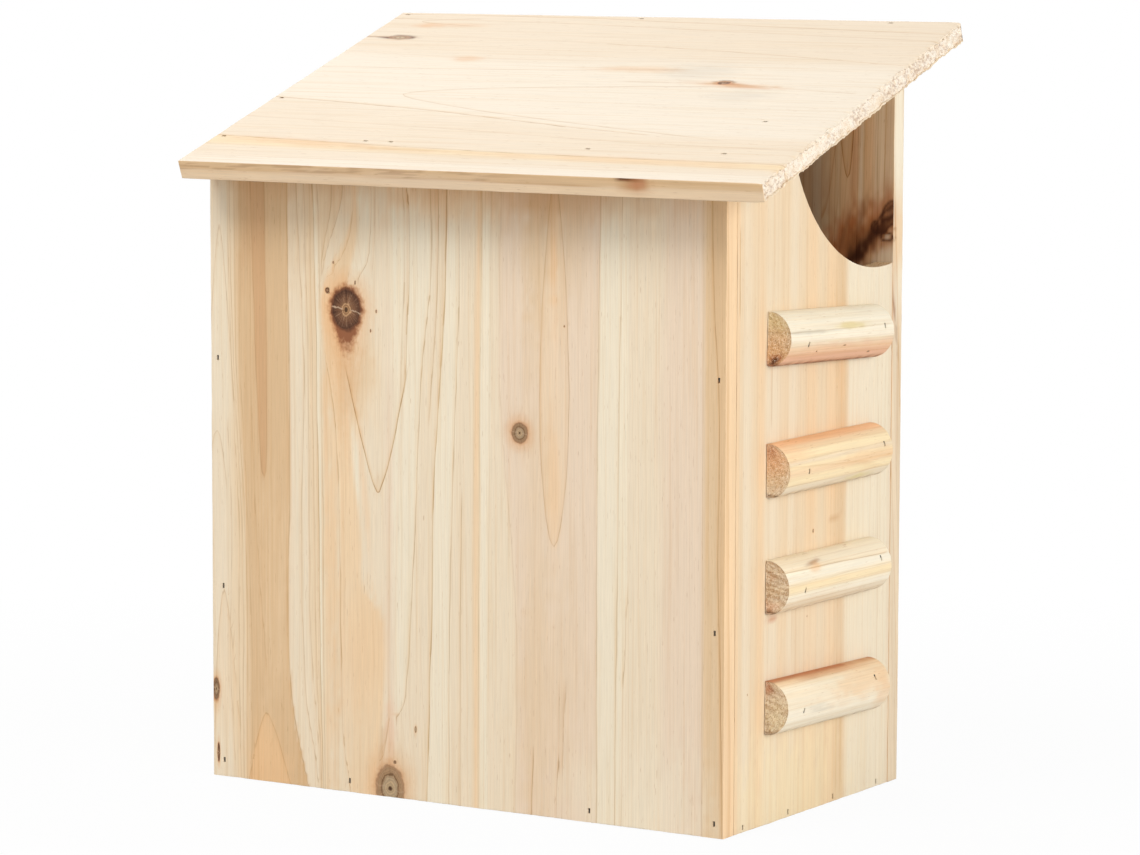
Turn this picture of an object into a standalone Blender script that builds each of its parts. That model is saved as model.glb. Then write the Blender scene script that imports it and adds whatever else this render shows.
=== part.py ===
"""Bat box of thin fir boards: four walls, a floor, a sloping roof, an arched way in and four rungs.

Units are metres and +Z is up. The origin is the middle of the box's base. The low front faces -Y and
the high back, which goes against a wall or a trunk, faces +Y. The way in and the rungs are on +X.
"""

import math

import bmesh
import bpy
from mathutils import Matrix, Vector

# The box
BOX_WIDTH = 0.2970
BOX_DEPTH = 0.1760
FRONT_HEIGHT = 0.3110
ROOF_PITCH = math.radians(19.1)

# The boards
WALL_THICKNESS = 0.0100
FLOOR_THICKNESS = 0.0100
ROOF_THICKNESS = 0.0097
ROOF_OVER_FRONT = 0.0235
ROOF_OVER_SIDE = 0.0335
BOARD_GAP = 0.0003
BOARD_EASE = 0.0004
EASE_STEPS = 2

# The way in: a round notch in the top rear corner of the right side, its lowest point measured
# down from the roof where the back panel begins
NOTCH_RADIUS = 0.0935
NOTCH_DEPTH = 0.1075
NOTCH_SETBACK = 0.0150
NOTCH_FACETS = 96

# The rungs: halves of a dowel, from the top one down, each nailed on a little out of level
RUNG_RADIUS = 0.0131
RUNG_LENGTH = 0.1045
RUNG_SETBACK = 0.0025
RUNG_FACETS = 28
RUNG_HEIGHT_SHARES = (0.889, 0.6564, 0.440, 0.2134)
RUNG_LEANS = tuple(math.radians(lean) for lean in (-2.2, 0.2, -0.4, -1.6))

# The brads: T-headed, driven a little below the surface
BRAD_LENGTH = 0.0220
RUNG_BRAD_LENGTH = 0.0190
BRAD_THICKNESS = 0.0010
BRAD_SHANK_WIDTH = 0.0012
BRAD_HEAD_WIDTH = 0.0023
BRAD_HEAD_DEPTH = 0.0006
BRAD_NECK = 0.0004
BRAD_POINT = 0.0015
BRAD_SINK = 0.0006
BRAD_CLEARANCE = 0.0003

# Where the brads go. A column's pairs are a share of the wall's thickness, in from the corner, and
# a share of the panel's height. The first column is at the box's left, the second at its right
FRONT_COLUMN_SHARES = (
    ((0.42, 0.684), (0.68, 0.313), (0.68, 0.0275)),
    ((0.40, 0.701), (0.55, 0.315), (0.52, 0.0225)),
)
BACK_COLUMN_SHARES = (
    ((0.50, 0.640), (0.60, 0.300), (0.55, 0.0250)),
    ((0.55, 0.620), (0.45, 0.310), (0.50, 0.0240)),
)
# Into the floor: shares of the box's width or depth, at shares of the floor's thickness
FLOOR_ROW_SHARES = (0.281, 0.750)
FLOOR_ROW_HEIGHT_SHARE = 0.58
SIDE_ROW_SHARES = (0.106, 0.357, 0.615, 0.872)
SIDE_ROW_HEIGHT_SHARE = 0.27
# Down through the roof: shares of the box's width and depth, and of a wall's thickness
ROOF_FRONT_ROW_SHARES = (0.304, 0.354, 0.733)
ROOF_BACK_ROW_SHARES = (0.500,)
ROOF_SIDE_ROW_SHARES = (0.314, 0.252)
ROOF_CORNER_SHARE = 0.50
ROOF_WALL_SHARE = 0.56
# Through the rungs: shares of the rung's length from its front end, and of its radius up from its middle
RUNG_BRAD_SHARES = (
    ((0.175, -0.20), (0.915, 0.26)),
    ((0.185, -0.10), (0.925, 0.30)),
    ((0.160, -0.16), (0.905, 0.34)),
    ((0.155, -0.14), (0.865, 0.42)),
)

# Working values
CUT_OVERRUN = 0.0020
WELD_DISTANCE = 0.000001
SHARP_ANGLE = math.radians(30)

# Derived places
LEFT_FACE = -BOX_WIDTH / 2
RIGHT_FACE = BOX_WIDTH / 2
FRONT_FACE = -BOX_DEPTH / 2
BACK_FACE = BOX_DEPTH / 2
INNER_FRONT = FRONT_FACE + WALL_THICKNESS
INNER_BACK = BACK_FACE - WALL_THICKNESS


def roof_underside(y):
    """Height of the roof's lower face above the base, at a distance y behind the box's middle."""
    return FRONT_HEIGHT + (y - FRONT_FACE) * math.tan(ROOF_PITCH)


NOTCH_SILL = roof_underside(INNER_BACK) - NOTCH_DEPTH


def plain_material(name, colour, roughness, metallic=0.0):
    """Principled material of one colour."""
    material = bpy.data.materials.new(name)
    material.use_nodes = True
    shader = material.node_tree.nodes["Principled BSDF"]
    shader.inputs["Base Color"].default_value = (*colour, 1.0)
    shader.inputs["Roughness"].default_value = roughness
    shader.inputs["Metallic"].default_value = metallic
    return material


def add_object(name, mesh, collection, parent, material=None):
    """Link a mesh under a name, below its parent, with its material."""
    piece = bpy.data.objects.new(name, mesh)
    collection.objects.link(piece)
    piece.parent = parent
    if material is not None and not mesh.materials:
        mesh.materials.append(material)
    return piece


def extruded_outline(name, outline, thickness):
    """Mesh of a closed outline in X and Y, half of its thickness on each side of it."""
    curve = bpy.data.curves.new(name, "CURVE")
    curve.dimensions = "2D"
    curve.fill_mode = "BOTH"
    curve.extrude = thickness / 2
    spline = curve.splines.new("POLY")
    spline.points.add(len(outline) - 1)
    for point, (across, up) in zip(spline.points, outline):
        point.co = (across, up, 0.0, 1.0)
    spline.use_cyclic_u = True
    drawn = bpy.data.objects.new(name, curve)
    bpy.context.scene.collection.objects.link(drawn)
    depsgraph = bpy.context.evaluated_depsgraph_get()
    mesh = bpy.data.meshes.new_from_object(drawn.evaluated_get(depsgraph))
    bpy.data.objects.remove(drawn)
    body = bmesh.new()
    body.from_mesh(mesh)
    bmesh.ops.remove_doubles(body, verts=body.verts, dist=WELD_DISTANCE)
    bmesh.ops.recalc_face_normals(body, faces=body.faces)
    body.to_mesh(mesh)
    body.free()
    return mesh


def block(name, width, depth, height):
    """Mesh of a box round its own middle."""
    mesh = bpy.data.meshes.new(name)
    body = bmesh.new()
    bmesh.ops.create_cube(body, size=1.0, matrix=Matrix.Diagonal((width, depth, height, 1.0)))
    body.to_mesh(mesh)
    body.free()
    return mesh


def ease_edges(piece):
    """Take the sharpness off a sawn piece's edges."""
    ease = piece.modifiers.new("eased_edges", "BEVEL")
    ease.width = BOARD_EASE
    ease.segments = EASE_STEPS
    ease.limit_method = "ANGLE"
    ease.angle_limit = SHARP_ANGLE


def cut(piece, cutter):
    """Take the cutter's shape out of a piece."""
    hole = piece.modifiers.new(cutter.name, "BOOLEAN")
    hole.operation = "DIFFERENCE"
    hole.solver = "EXACT"
    hole.object = cutter


def wall_section(front, back):
    """Outline, in Y and Z, of a wall between two depths, its top sawn to the roof's slope."""
    gap = BOARD_GAP / math.cos(ROOF_PITCH)
    return (
        (front, 0.0),
        (back, 0.0),
        (back, roof_underside(back) - gap),
        (front, roof_underside(front) - gap),
    )


def upright_board(name, front, back, centre_x, width, material, collection, parent):
    """A wall with a sloping top: a section drawn in Y and Z and drawn out along X."""
    mesh = extruded_outline(name, wall_section(front, back), width)
    board = add_object(name, mesh, collection, parent, material)
    board.rotation_euler = (math.radians(90), 0.0, math.radians(90))
    board.location = (centre_x, 0.0, 0.0)
    return board


def make_walls(material, collection, parent):
    """Front and back across the full width, and the two sides between them."""
    panels = (
        ("front_panel", FRONT_FACE, INNER_FRONT, 0.0, BOX_WIDTH),
        ("back_panel", INNER_BACK, BACK_FACE, 0.0, BOX_WIDTH),
        ("left_side", INNER_FRONT + BOARD_GAP, INNER_BACK - BOARD_GAP,
         LEFT_FACE + WALL_THICKNESS / 2, WALL_THICKNESS),
        ("right_side", INNER_FRONT + BOARD_GAP, INNER_BACK - BOARD_GAP,
         RIGHT_FACE - WALL_THICKNESS / 2, WALL_THICKNESS),
    )
    return {
        name: upright_board(name, front, back, centre_x, width, material, collection, parent)
        for name, front, back, centre_x, width in panels
    }


def make_floor(material, collection, parent):
    """The floor board, between all four walls and flush with their lower edges."""
    inset = 2 * (WALL_THICKNESS + BOARD_GAP)
    mesh = block("floor_board", BOX_WIDTH - inset, BOX_DEPTH - inset, FLOOR_THICKNESS)
    floor = add_object("floor_board", mesh, collection, parent, material)
    floor.location.z = FLOOR_THICKNESS / 2
    return floor


def make_roof(material, collection, parent):
    """One board square to the slope: flush at the left and the back, past the box at the others."""
    front_edge = FRONT_FACE - ROOF_OVER_FRONT
    length = (BACK_FACE - front_edge) / math.cos(ROOF_PITCH)
    mesh = block("roof_board", BOX_WIDTH + ROOF_OVER_SIDE, length, ROOF_THICKNESS)
    roof = add_object("roof_board", mesh, collection, parent, material)
    middle = (front_edge + BACK_FACE) / 2
    rise = ROOF_THICKNESS / 2
    roof.rotation_euler.x = ROOF_PITCH
    roof.location = (
        ROOF_OVER_SIDE / 2,
        middle - rise * math.sin(ROOF_PITCH),
        roof_underside(middle) + rise * math.cos(ROOF_PITCH),
    )
    return roof


def make_notch_cutter(collection, parent):
    """A short cylinder along X whose lower arc leaves the way in."""
    mesh = bpy.data.meshes.new("notch_cutter")
    body = bmesh.new()
    bmesh.ops.create_cone(
        body,
        cap_ends=True,
        segments=NOTCH_FACETS,
        radius1=NOTCH_RADIUS,
        radius2=NOTCH_RADIUS,
        depth=WALL_THICKNESS + 2 * CUT_OVERRUN,
    )
    body.to_mesh(mesh)
    body.free()
    cutter = add_object("notch_cutter", mesh, collection, parent)
    cutter.rotation_euler.y = math.radians(90)
    cutter.location = (
        RIGHT_FACE - WALL_THICKNESS / 2,
        INNER_BACK - NOTCH_SETBACK,
        NOTCH_SILL + NOTCH_RADIUS,
    )
    return cutter


def rung_places():
    """Frame of each rung at the middle of its flat back: X away from the wall, Y along, Z up."""
    wall = RIGHT_FACE + BOARD_GAP
    return [
        Matrix.Translation((wall, RUNG_SETBACK, share * NOTCH_SILL)) @ Matrix.Rotation(lean, 4, "X")
        for share, lean in zip(RUNG_HEIGHT_SHARES, RUNG_LEANS)
    ]


def make_rungs(material, collection, parent):
    """Four half-round rungs under the way in, flat side to the wall."""
    turns = [math.pi * (step / RUNG_FACETS - 0.5) for step in range(RUNG_FACETS + 1)]
    outline = [(RUNG_RADIUS * math.cos(turn), RUNG_RADIUS * math.sin(turn)) for turn in turns]
    mesh = extruded_outline("rung", outline, RUNG_LENGTH)
    mesh.shade_smooth()
    mesh.set_sharp_from_angle(angle=SHARP_ANGLE)
    lay_along = Matrix.Rotation(math.radians(90), 4, "X")
    rungs = []
    for number, place in enumerate(rung_places(), start=1):
        rung = add_object(f"rung_{number}", mesh, collection, parent, material)
        rung.matrix_local = place @ lay_along
        rungs.append(rung)
    return rungs


def brad_outline(length, grow, rise):
    """T shape with a pointed foot, its head's top at zero: grown all round, and raised at the top."""
    head = BRAD_HEAD_WIDTH / 2 + grow
    shank = BRAD_SHANK_WIDTH / 2 + grow
    shoulder = -BRAD_HEAD_DEPTH - grow
    neck = shoulder - BRAD_NECK
    foot = -length + BRAD_POINT - grow
    tip = -length - grow
    right = [(head, rise), (head, shoulder), (shank, neck), (shank, foot)]
    left = [(-across, up) for across, up in reversed(right)]
    return right + [(0.0, tip)] + left


def standing(point, outward, along):
    """Frame of a brad: X along its head, Y out of the wood, its head's top sunk under the point."""
    outward = Vector(outward)
    along = Vector(along)
    turn = Matrix((along, outward, along.cross(outward))).transposed().to_4x4()
    return Matrix.Translation(Vector(point) - outward * BRAD_SINK) @ turn


def panel_brads(face, outward_y, height, columns):
    """Brads through the front or the back panel, into both sides and the floor."""
    upright = (0.0, 0.0, 1.0)
    points = [
        (corner - inward * share * WALL_THICKNESS, face, up * height)
        for corner, inward, column in zip((LEFT_FACE, RIGHT_FACE), (-1, 1), columns)
        for share, up in column
    ]
    points += [
        (LEFT_FACE + share * BOX_WIDTH, face, FLOOR_ROW_HEIGHT_SHARE * FLOOR_THICKNESS)
        for share in FLOOR_ROW_SHARES
    ]
    return [standing(point, (0.0, outward_y, 0.0), upright) for point in points]


def side_brads(face, outward_x):
    """Brads through the foot of a side, into the floor."""
    height = SIDE_ROW_HEIGHT_SHARE * FLOOR_THICKNESS
    return [
        standing((face, FRONT_FACE + share * BOX_DEPTH, height), (outward_x, 0.0, 0.0), (0.0, 0.0, 1.0))
        for share in SIDE_ROW_SHARES
    ]


def roof_brads():
    """Plumb brads through the roof, into the tops of the walls."""
    corner = ROOF_CORNER_SHARE * WALL_THICKNESS
    left = LEFT_FACE + corner
    right = RIGHT_FACE - corner
    front = FRONT_FACE + ROOF_WALL_SHARE * WALL_THICKNESS
    back = BACK_FACE - ROOF_WALL_SHARE * WALL_THICKNESS
    front_row = [left, *(LEFT_FACE + share * BOX_WIDTH for share in ROOF_FRONT_ROW_SHARES), right]
    back_row = [left, *(LEFT_FACE + share * BOX_WIDTH for share in ROOF_BACK_ROW_SHARES), right]
    spots = [(x, front) for x in front_row] + [(x, back) for x in back_row]
    spots += [
        (x, FRONT_FACE + share * BOX_DEPTH)
        for x, share in zip((left, right), ROOF_SIDE_ROW_SHARES)
    ]
    top = ROOF_THICKNESS / math.cos(ROOF_PITCH)
    return [
        standing((x, y, roof_underside(y) + top), (0.0, 0.0, 1.0), (1.0, 0.0, 0.0))
        for x, y in spots
    ]


def rung_brads():
    """Two brads through each rung, square to the wall."""
    places = []
    for rung, spots in zip(rung_places(), RUNG_BRAD_SHARES):
        for length_share, radius_share in spots:
            up = radius_share * RUNG_RADIUS
            along = (length_share - 0.5) * RUNG_LENGTH
            out = math.sqrt(RUNG_RADIUS ** 2 - up ** 2)
            places.append(rung @ standing((out, along, up), (1.0, 0.0, 0.0), (0.0, 0.0, 1.0)))
    return places


def make_brads(name, places, length, material, collection, parent):
    """One brad at each place, all of one mesh."""
    mesh = extruded_outline(name, brad_outline(length, 0.0, 0.0), BRAD_THICKNESS)
    for number, place in enumerate(places, start=1):
        brad = add_object(f"{name}_{number}", mesh, collection, parent, material)
        brad.matrix_local = place


def make_brad_cutter(name, places, length, collection, parent):
    """The brads' slots, a clearance larger all round and open above, as one cutter."""
    outline = brad_outline(length, BRAD_CLEARANCE, BRAD_SINK + CUT_OVERRUN)
    slot = extruded_outline(name, outline, BRAD_THICKNESS + 2 * BRAD_CLEARANCE)
    body = bmesh.new()
    for place in places:
        placed = slot.copy()
        placed.transform(place)
        body.from_mesh(placed)
        bpy.data.meshes.remove(placed)
    body.to_mesh(slot)
    body.free()
    return add_object(name, slot, collection, parent)


def make_brad_rows(material, parts, cutters, parent):
    """Every row of brads, and for each the cutter of its slots."""
    rows = {
        "front_brad": (panel_brads(FRONT_FACE, -1.0, FRONT_HEIGHT, FRONT_COLUMN_SHARES), BRAD_LENGTH),
        "back_brad": (
            panel_brads(BACK_FACE, 1.0, roof_underside(BACK_FACE), BACK_COLUMN_SHARES),
            BRAD_LENGTH,
        ),
        "left_brad": (side_brads(LEFT_FACE, -1.0), BRAD_LENGTH),
        "right_brad": (side_brads(RIGHT_FACE, 1.0), BRAD_LENGTH),
        "roof_brad": (roof_brads(), BRAD_LENGTH),
        "rung_brad": (rung_brads(), RUNG_BRAD_LENGTH),
    }
    slots = {}
    for name, (places, length) in rows.items():
        make_brads(name, places, length, material, parts, parent)
        slots[name] = make_brad_cutter(f"{name}_slots", places, length, cutters, parent)
    return slots


def main():
    for piece in list(bpy.data.objects):
        bpy.data.objects.remove(piece)
    parts = bpy.data.collections.new("bat_box")
    cutters = bpy.data.collections.new("cutters")
    bpy.context.scene.collection.children.link(parts)
    bpy.context.scene.collection.children.link(cutters)
    base = bpy.data.objects.new("bat_box_base", None)
    parts.objects.link(base)

    wall_fir = plain_material("wall_fir", (0.83, 0.66, 0.45), 0.62)
    roof_fir = plain_material("roof_fir", (0.92, 0.80, 0.62), 0.60)
    rung_fir = plain_material("rung_fir", (0.87, 0.70, 0.47), 0.58)
    brad_steel = plain_material("brad_steel", (0.20, 0.18, 0.16), 0.45, 0.9)

    boards = make_walls(wall_fir, parts, base)
    boards["floor_board"] = make_floor(wall_fir, parts, base)
    boards["roof_board"] = make_roof(roof_fir, parts, base)
    rungs = make_rungs(rung_fir, parts, base)
    slots = make_brad_rows(brad_steel, parts, cutters, base)

    cut(boards["right_side"], make_notch_cutter(cutters, base))
    for board in boards.values():
        ease_edges(board)
    rows_through = {
        "front_panel": ("front_brad", "roof_brad"),
        "back_panel": ("back_brad", "roof_brad"),
        "left_side": ("front_brad", "back_brad", "left_brad", "roof_brad"),
        "right_side": ("front_brad", "back_brad", "right_brad", "roof_brad", "rung_brad"),
        "floor_board": ("front_brad", "back_brad", "left_brad", "right_brad"),
        "roof_board": ("roof_brad",),
    }
    for name, rows in rows_through.items():
        for row in rows:
            cut(boards[name], slots[row])
    for rung in rungs:
        cut(rung, slots["rung_brad"])
    for cutter in cutters.objects:
        cutter.hide_render = True
        cutter.display_type = "WIRE"


main()
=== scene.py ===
# %% [markdown]
# # A bat box of thin fir boards
# The box is nailed up from unfinished fir: four walls, a floor, a roof board that slopes to the
# front, and four half-round rungs under the way in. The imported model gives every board's place
# and size. This script gives them their wood, their worn edges, their nail slots and their saw
# marks, and changes nothing of the dimensions.

# %% Load the frame
import itertools

import bpy
import numpy as np
from mathutils import Matrix, Vector


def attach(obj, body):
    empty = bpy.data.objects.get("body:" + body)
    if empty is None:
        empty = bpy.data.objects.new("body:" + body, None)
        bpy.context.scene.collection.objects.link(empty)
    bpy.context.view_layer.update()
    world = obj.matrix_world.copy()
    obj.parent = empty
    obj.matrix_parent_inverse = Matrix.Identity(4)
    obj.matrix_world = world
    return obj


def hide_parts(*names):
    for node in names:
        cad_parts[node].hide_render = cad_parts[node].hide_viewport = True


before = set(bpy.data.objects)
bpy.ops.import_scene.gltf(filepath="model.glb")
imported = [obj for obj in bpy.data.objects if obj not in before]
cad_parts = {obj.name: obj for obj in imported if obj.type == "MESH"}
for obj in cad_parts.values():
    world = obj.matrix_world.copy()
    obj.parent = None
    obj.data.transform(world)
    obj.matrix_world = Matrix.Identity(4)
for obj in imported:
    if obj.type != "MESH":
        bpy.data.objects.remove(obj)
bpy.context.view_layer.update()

SCENE = bpy.context.scene
MM = 0.001

# %% [markdown]
# ## The camera
# The box is seen from low in front and from the side of the way in, through a long lens, so its
# uprights stay almost parallel. Yaw, pitch and roll turn the camera's own axes, and the camera
# then backs away from the point it looks at.

# %% Camera
YAW, PITCH, ROLL = np.radians((31.749, 6.610, 0.153))
AIM = Vector((0.00851, 0.0, 0.17831))
AWAY = 2.246
LENS, SENSOR = 141.955, 36.0
NEAREST, FARTHEST = 0.05, 50.0


def camera_axes(yaw, pitch, roll):
    """Right, up and backward directions of a camera turned by yaw, tipped by pitch and rolled."""
    forward = Vector((-np.sin(yaw) * np.cos(pitch), np.cos(yaw) * np.cos(pitch), -np.sin(pitch)))
    right = Vector((np.cos(yaw), np.sin(yaw), 0.0))
    up = right.cross(forward)
    return (
        right * np.cos(roll) + up * np.sin(roll),
        up * np.cos(roll) - right * np.sin(roll),
        -forward,
    )


lens = bpy.data.cameras.new("camera")
lens.lens, lens.sensor_width, lens.sensor_fit = LENS, SENSOR, "HORIZONTAL"
lens.clip_start, lens.clip_end = NEAREST, FARTHEST
camera = bpy.data.objects.new("camera", lens)
SCENE.collection.objects.link(camera)
axes = camera_axes(YAW, PITCH, ROLL)
camera.matrix_world = Matrix.Translation(AIM + axes[2] * AWAY) @ Matrix(axes).transposed().to_4x4()
SCENE.camera = camera
print("camera stands at", [round(value, 3) for value in camera.location])

# %% [markdown]
# ## Nodes by function
# A wood material is a long sum of small effects. A few helpers keep it readable: one adds a node
# and feeds its inputs, and the others are the nodes that come back most often.

# %% Node helpers


def new_material(name):
    """A material that uses nodes, and its node tree."""
    made = bpy.data.materials.new(name)
    made.use_nodes = True
    return made, made.node_tree


def add(tree, kind, inputs=(), **settings):
    """Add a shader node, set its options, and give its inputs numbers or other nodes' outputs."""
    made = tree.nodes.new("ShaderNode" + kind)
    for name, value in settings.items():
        setattr(made, name, value)
    for slot, value in dict(inputs).items():
        if isinstance(value, bpy.types.NodeSocket):
            tree.links.new(value, made.inputs[slot])
        else:
            made.inputs[slot].default_value = value
    return made


def math(tree, operation, *values, clamp=False):
    """One Math node: the operation on up to three values."""
    made = add(tree, "Math", enumerate(values), operation=operation, use_clamp=clamp)
    return made.outputs[0]


def times(tree, first, *others):
    """The product of a value and others."""
    for other in others:
        first = math(tree, "MULTIPLY", first, other)
    return first


def length_of(tree, vector):
    """A vector's length."""
    return add(tree, "VectorMath", {0: vector}, operation="LENGTH").outputs["Value"]


def stored(tree, name, output="Vector"):
    """A value that a piece keeps in its points."""
    return add(tree, "Attribute", attribute_name=name).outputs[output]


def split(tree, vector):
    """The three numbers of a vector."""
    return add(tree, "SeparateXYZ", {0: vector}).outputs


def blend(tree, mode, share, under, over):
    """One colour mix: 'over' laid on 'under' by a share, in a blend mode."""
    inputs = {0: share, 6: under, 7: over}
    return add(tree, "Mix", inputs, data_type="RGBA", blend_type=mode).outputs[2]


def ramp(tree, value, stops):
    """A colour ramp from (position, colour or grey) stops."""
    made = add(tree, "ValToRGB", {0: value})
    elements = made.color_ramp.elements
    while len(elements) < len(stops):
        elements.new(0.5)
    for element, (place, colour) in zip(elements, stops):
        element.position = place
        grey = isinstance(colour, (int, float))
        element.color = (colour, colour, colour, 1.0) if grey else (*colour, 1.0)
    return made.outputs[0]


def rescale(tree, value, low, high, to_low, to_high):
    """A value carried from one range to another, and held at its ends."""
    inputs = {0: value, 1: low, 2: high, 3: to_low, 4: to_high}
    return add(tree, "MapRange", inputs).outputs[0]


def pattern(tree, name, vector, *between):
    """Noise on a vector scaled unevenly, which draws it out along the grain. With four numbers,
    it is carried from the range of the first two to that of the last two."""
    scale, detail, rough = PATTERNS[name]
    scaled = add(tree, "VectorMath", {0: vector, 1: scale}, operation="MULTIPLY").outputs[0]
    inputs = {"Vector": scaled, "Scale": 1.0, "Detail": detail, "Roughness": rough}
    noise = add(tree, "TexNoise", inputs).outputs[0]
    return rescale(tree, noise, *between) if between else noise


def seen_directly(tree):
    """1 for a ray of the camera, of a reflection or through glass, and 0 for one that lights."""
    path = add(tree, "LightPath").outputs
    mirrored = math(tree, "MAXIMUM", path["Is Camera Ray"], path["Is Glossy Ray"])
    return math(tree, "MAXIMUM", mirrored, path["Is Transmission Ray"])


def linear(colour):
    """Colours read off in 0 to 255 steps, as the linear light that a shader takes."""
    share = np.asarray(colour, float) / 255.0
    return np.where(share < 0.04045, share / 12.92, ((share + 0.055) / 1.055) ** 2.4)


print("fir at rest", linear((230, 208, 177)).round(3))

# %% [markdown]
# ## Floor and light
# The box stands on a plain pale floor that fades into a white backdrop. To the camera the floor
# is mostly white by itself and partly lit, more so near the box, so that it stays white and
# keeps the soft shadow. Three large soft lamps and an even sky light the wood at a plain level.

# %% Floor, sky and lamps
FLOOR_REACH, FLOOR_DROP = 40.0, 0.0004
PAPER_GREY = (0.60, 0.60, 0.60, 1.0)
WHITE = (1.0, 1.0, 1.0, 1.0)
SHADOW_REACH = (0.28, 0.7)
FLOOR_WHITE = (0.96, 1.0)
SKY_LEVEL = 0.40
LAMPS = {
    "low_right": ((2.61, -0.9, 0.9), 1.5, 49.0),
    "high_front": ((-0.5, -1.6, 2.38), 1.5, 42.0),
    "rear_left": ((-1.8, 1.6, 1.58), 1.4, 34.0),
}

bpy.ops.mesh.primitive_plane_add(size=2 * FLOOR_REACH, location=(0, 0, -FLOOR_DROP))
ground = bpy.context.object
ground.name = "floor"
paper, tree = new_material("pale_floor")
tree.nodes.clear()
lit = add(tree, "BsdfDiffuse", {0: PAPER_GREY}).outputs[0]
white = add(tree, "Emission", {0: WHITE, 1: 1.0}).outputs[0]
away = length_of(tree, add(tree, "TexCoord").outputs["Object"])
share = times(tree, seen_directly(tree), rescale(tree, away, *SHADOW_REACH, *FLOOR_WHITE))
both = add(tree, "MixShader", {0: share, 1: lit, 2: white})
add(tree, "OutputMaterial", {0: both.outputs[0]})
ground.data.materials.append(paper)

sky = bpy.data.worlds.new("studio")
SCENE.world = sky
sky.use_nodes = True
tree = sky.node_tree
tree.nodes.clear()
strength = rescale(tree, seen_directly(tree), 0.0, 1.0, SKY_LEVEL, 1.0)
dome = add(tree, "Background", {0: WHITE, 1: strength})
add(tree, "OutputWorld", {0: dome.outputs[0]})

for name, (place, size, watts) in LAMPS.items():
    soft = bpy.data.lights.new(name, "AREA")
    soft.shape, soft.size, soft.energy = "DISK", size, watts
    lamp = bpy.data.objects.new(name, soft)
    lamp.location = place
    lamp.rotation_euler = (AIM - Vector(place)).to_track_quat("-Z", "Y").to_euler()
    SCENE.collection.objects.link(lamp)

SCENE.view_settings.view_transform = "Standard"
print("lamps", len(LAMPS), "sky", SKY_LEVEL)

# %% [markdown]
# ## What fir looks like
# A fir board shows the tree's yearly rings where the saw cut through them: straight lines where
# the cut runs across the rings, and nested arches where it runs along them. Each ring is pale
# early wood that darkens slowly into a thin brown line of late wood and then starts pale again.
#
# The boards carry what the material needs in their points, worked out below: `grain`, a place
# measured across, into and along the board; `rings`, a ring number that counts up across the
# tree; `knot` and `reach`, a place and a distance from the nearest knot in knot radii; `tone`, the
# colour of the plain wood with the light and shade that are painted into it; `drawn` and `arch`,
# where the clear lines run; and `marks`, how plainly the rings show, how much end grain there is
# and how much dirt. The material only has to draw a line at every whole ring number, and fibres
# along the grain, so one material serves boards that lie any way round.
#
# Each pattern below gives how often it changes in a millimetre across, into and along the board,
# its detail and its roughness.

# %% Late wood and clear lines
PATTERNS = {
    "ring_wander": ((0.045, 0.045, 0.006), 2.0, 0.5),
    "ring_breaks": ((0.3, 0.3, 0.012), 2.0, 0.5),
    "line_sway": ((0.12, 0.12, 0.025), 3.0, 0.5),
    "line_breaks": ((0.5, 0.5, 0.03), 2.0, 0.5),
    "streaks": ((0.5, 0.5, 0.008), 3.0, 0.55),
    "fibres": ((1.9, 1.9, 0.05), 3.0, 0.6),
    "canals": ((2.6, 2.6, 0.16), 1.0, 0.5),
    "pores": ((1.5, 1.5, 1.5), 4.0, 0.75),
    "knot_hairs": ((8.0, 8.0, 8.0), 4.0, 0.85),
    "knot_char": ((5.0, 5.0, 5.0), 3.0, 0.7),
    "knot_uneven": ((0.35, 0.35, 0.35), 3.0, 0.5),
    "knot_ragged": ((1.1, 1.1, 0.4), 3.0, 0.7),
}
LATE_TINT = (0.80, 0.655, 0.50, 1.0)
LINE_TINT = (0.50, 0.36, 0.23, 1.0)
TAIL_TINT = (0.90, 0.77, 0.61, 1.0)
RING_PROFILE = ((0, 0.0), (0.5, 0.04), (0.78, 0.16), (0.91, 1.0), (0.95, 0.85), (0.99, 0))
LINE_CORE = ((0.455, 0.0), (0.48, 0.8), (0.50, 1.0), (0.52, 0.5), (0.535, 0.0))
LINE_TAIL = ((0.20, 0.0), (0.38, 0.35), (0.48, 1.0), (0.53, 0.5), (0.56, 0.0))
RING_SWAY, RING_UNEVEN, FAINTEST_RING = 0.5, 1.7, 0.16
LINE_SPAN = 8.0


def ring_lines(tree, rings, grain):
    """How dark the late wood is: rises slowly through each ring, ends sharply, differs by ring."""
    moved = math(tree, "MULTIPLY_ADD", pattern(tree, "ring_wander", grain), RING_SWAY, rings)
    profile = ramp(tree, math(tree, "FRACT", moved), RING_PROFILE)
    count = math(tree, "FLOOR", moved)
    chance = add(tree, "TexWhiteNoise", {"W": count}, noise_dimensions="1D").outputs[0]
    weight = rescale(tree, math(tree, "POWER", chance, RING_UNEVEN), 0.0, 1.0, FAINTEST_RING, 1.0)
    breaks = pattern(tree, "ring_breaks", grain, 0.3, 0.6, 0.55, 1.0)
    return times(tree, profile, weight, breaks), chance


def drawn_line(tree, grain, distance, strength, colour):
    """One clear line: a thin dark core, and a warm tail that fades out on its earlier side."""
    sway = pattern(tree, "line_sway", grain, 0.2, 0.8, -0.5, 0.5)
    away = math(tree, "ADD", distance, sway)
    place = math(tree, "MULTIPLY_ADD", away, 1.0 / LINE_SPAN, 0.5, clamp=True)
    breaks = pattern(tree, "line_breaks", grain, 0.35, 0.62, 0.35, 1.0)
    tail = times(tree, strength, ramp(tree, place, LINE_TAIL))
    colour = blend(tree, "MULTIPLY", tail, colour, TAIL_TINT)
    core = times(tree, strength, breaks, ramp(tree, place, LINE_CORE))
    return blend(tree, "MULTIPLY", core, colour, LINE_TINT), core


print("patterns in the wood", len(PATTERNS))

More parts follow.
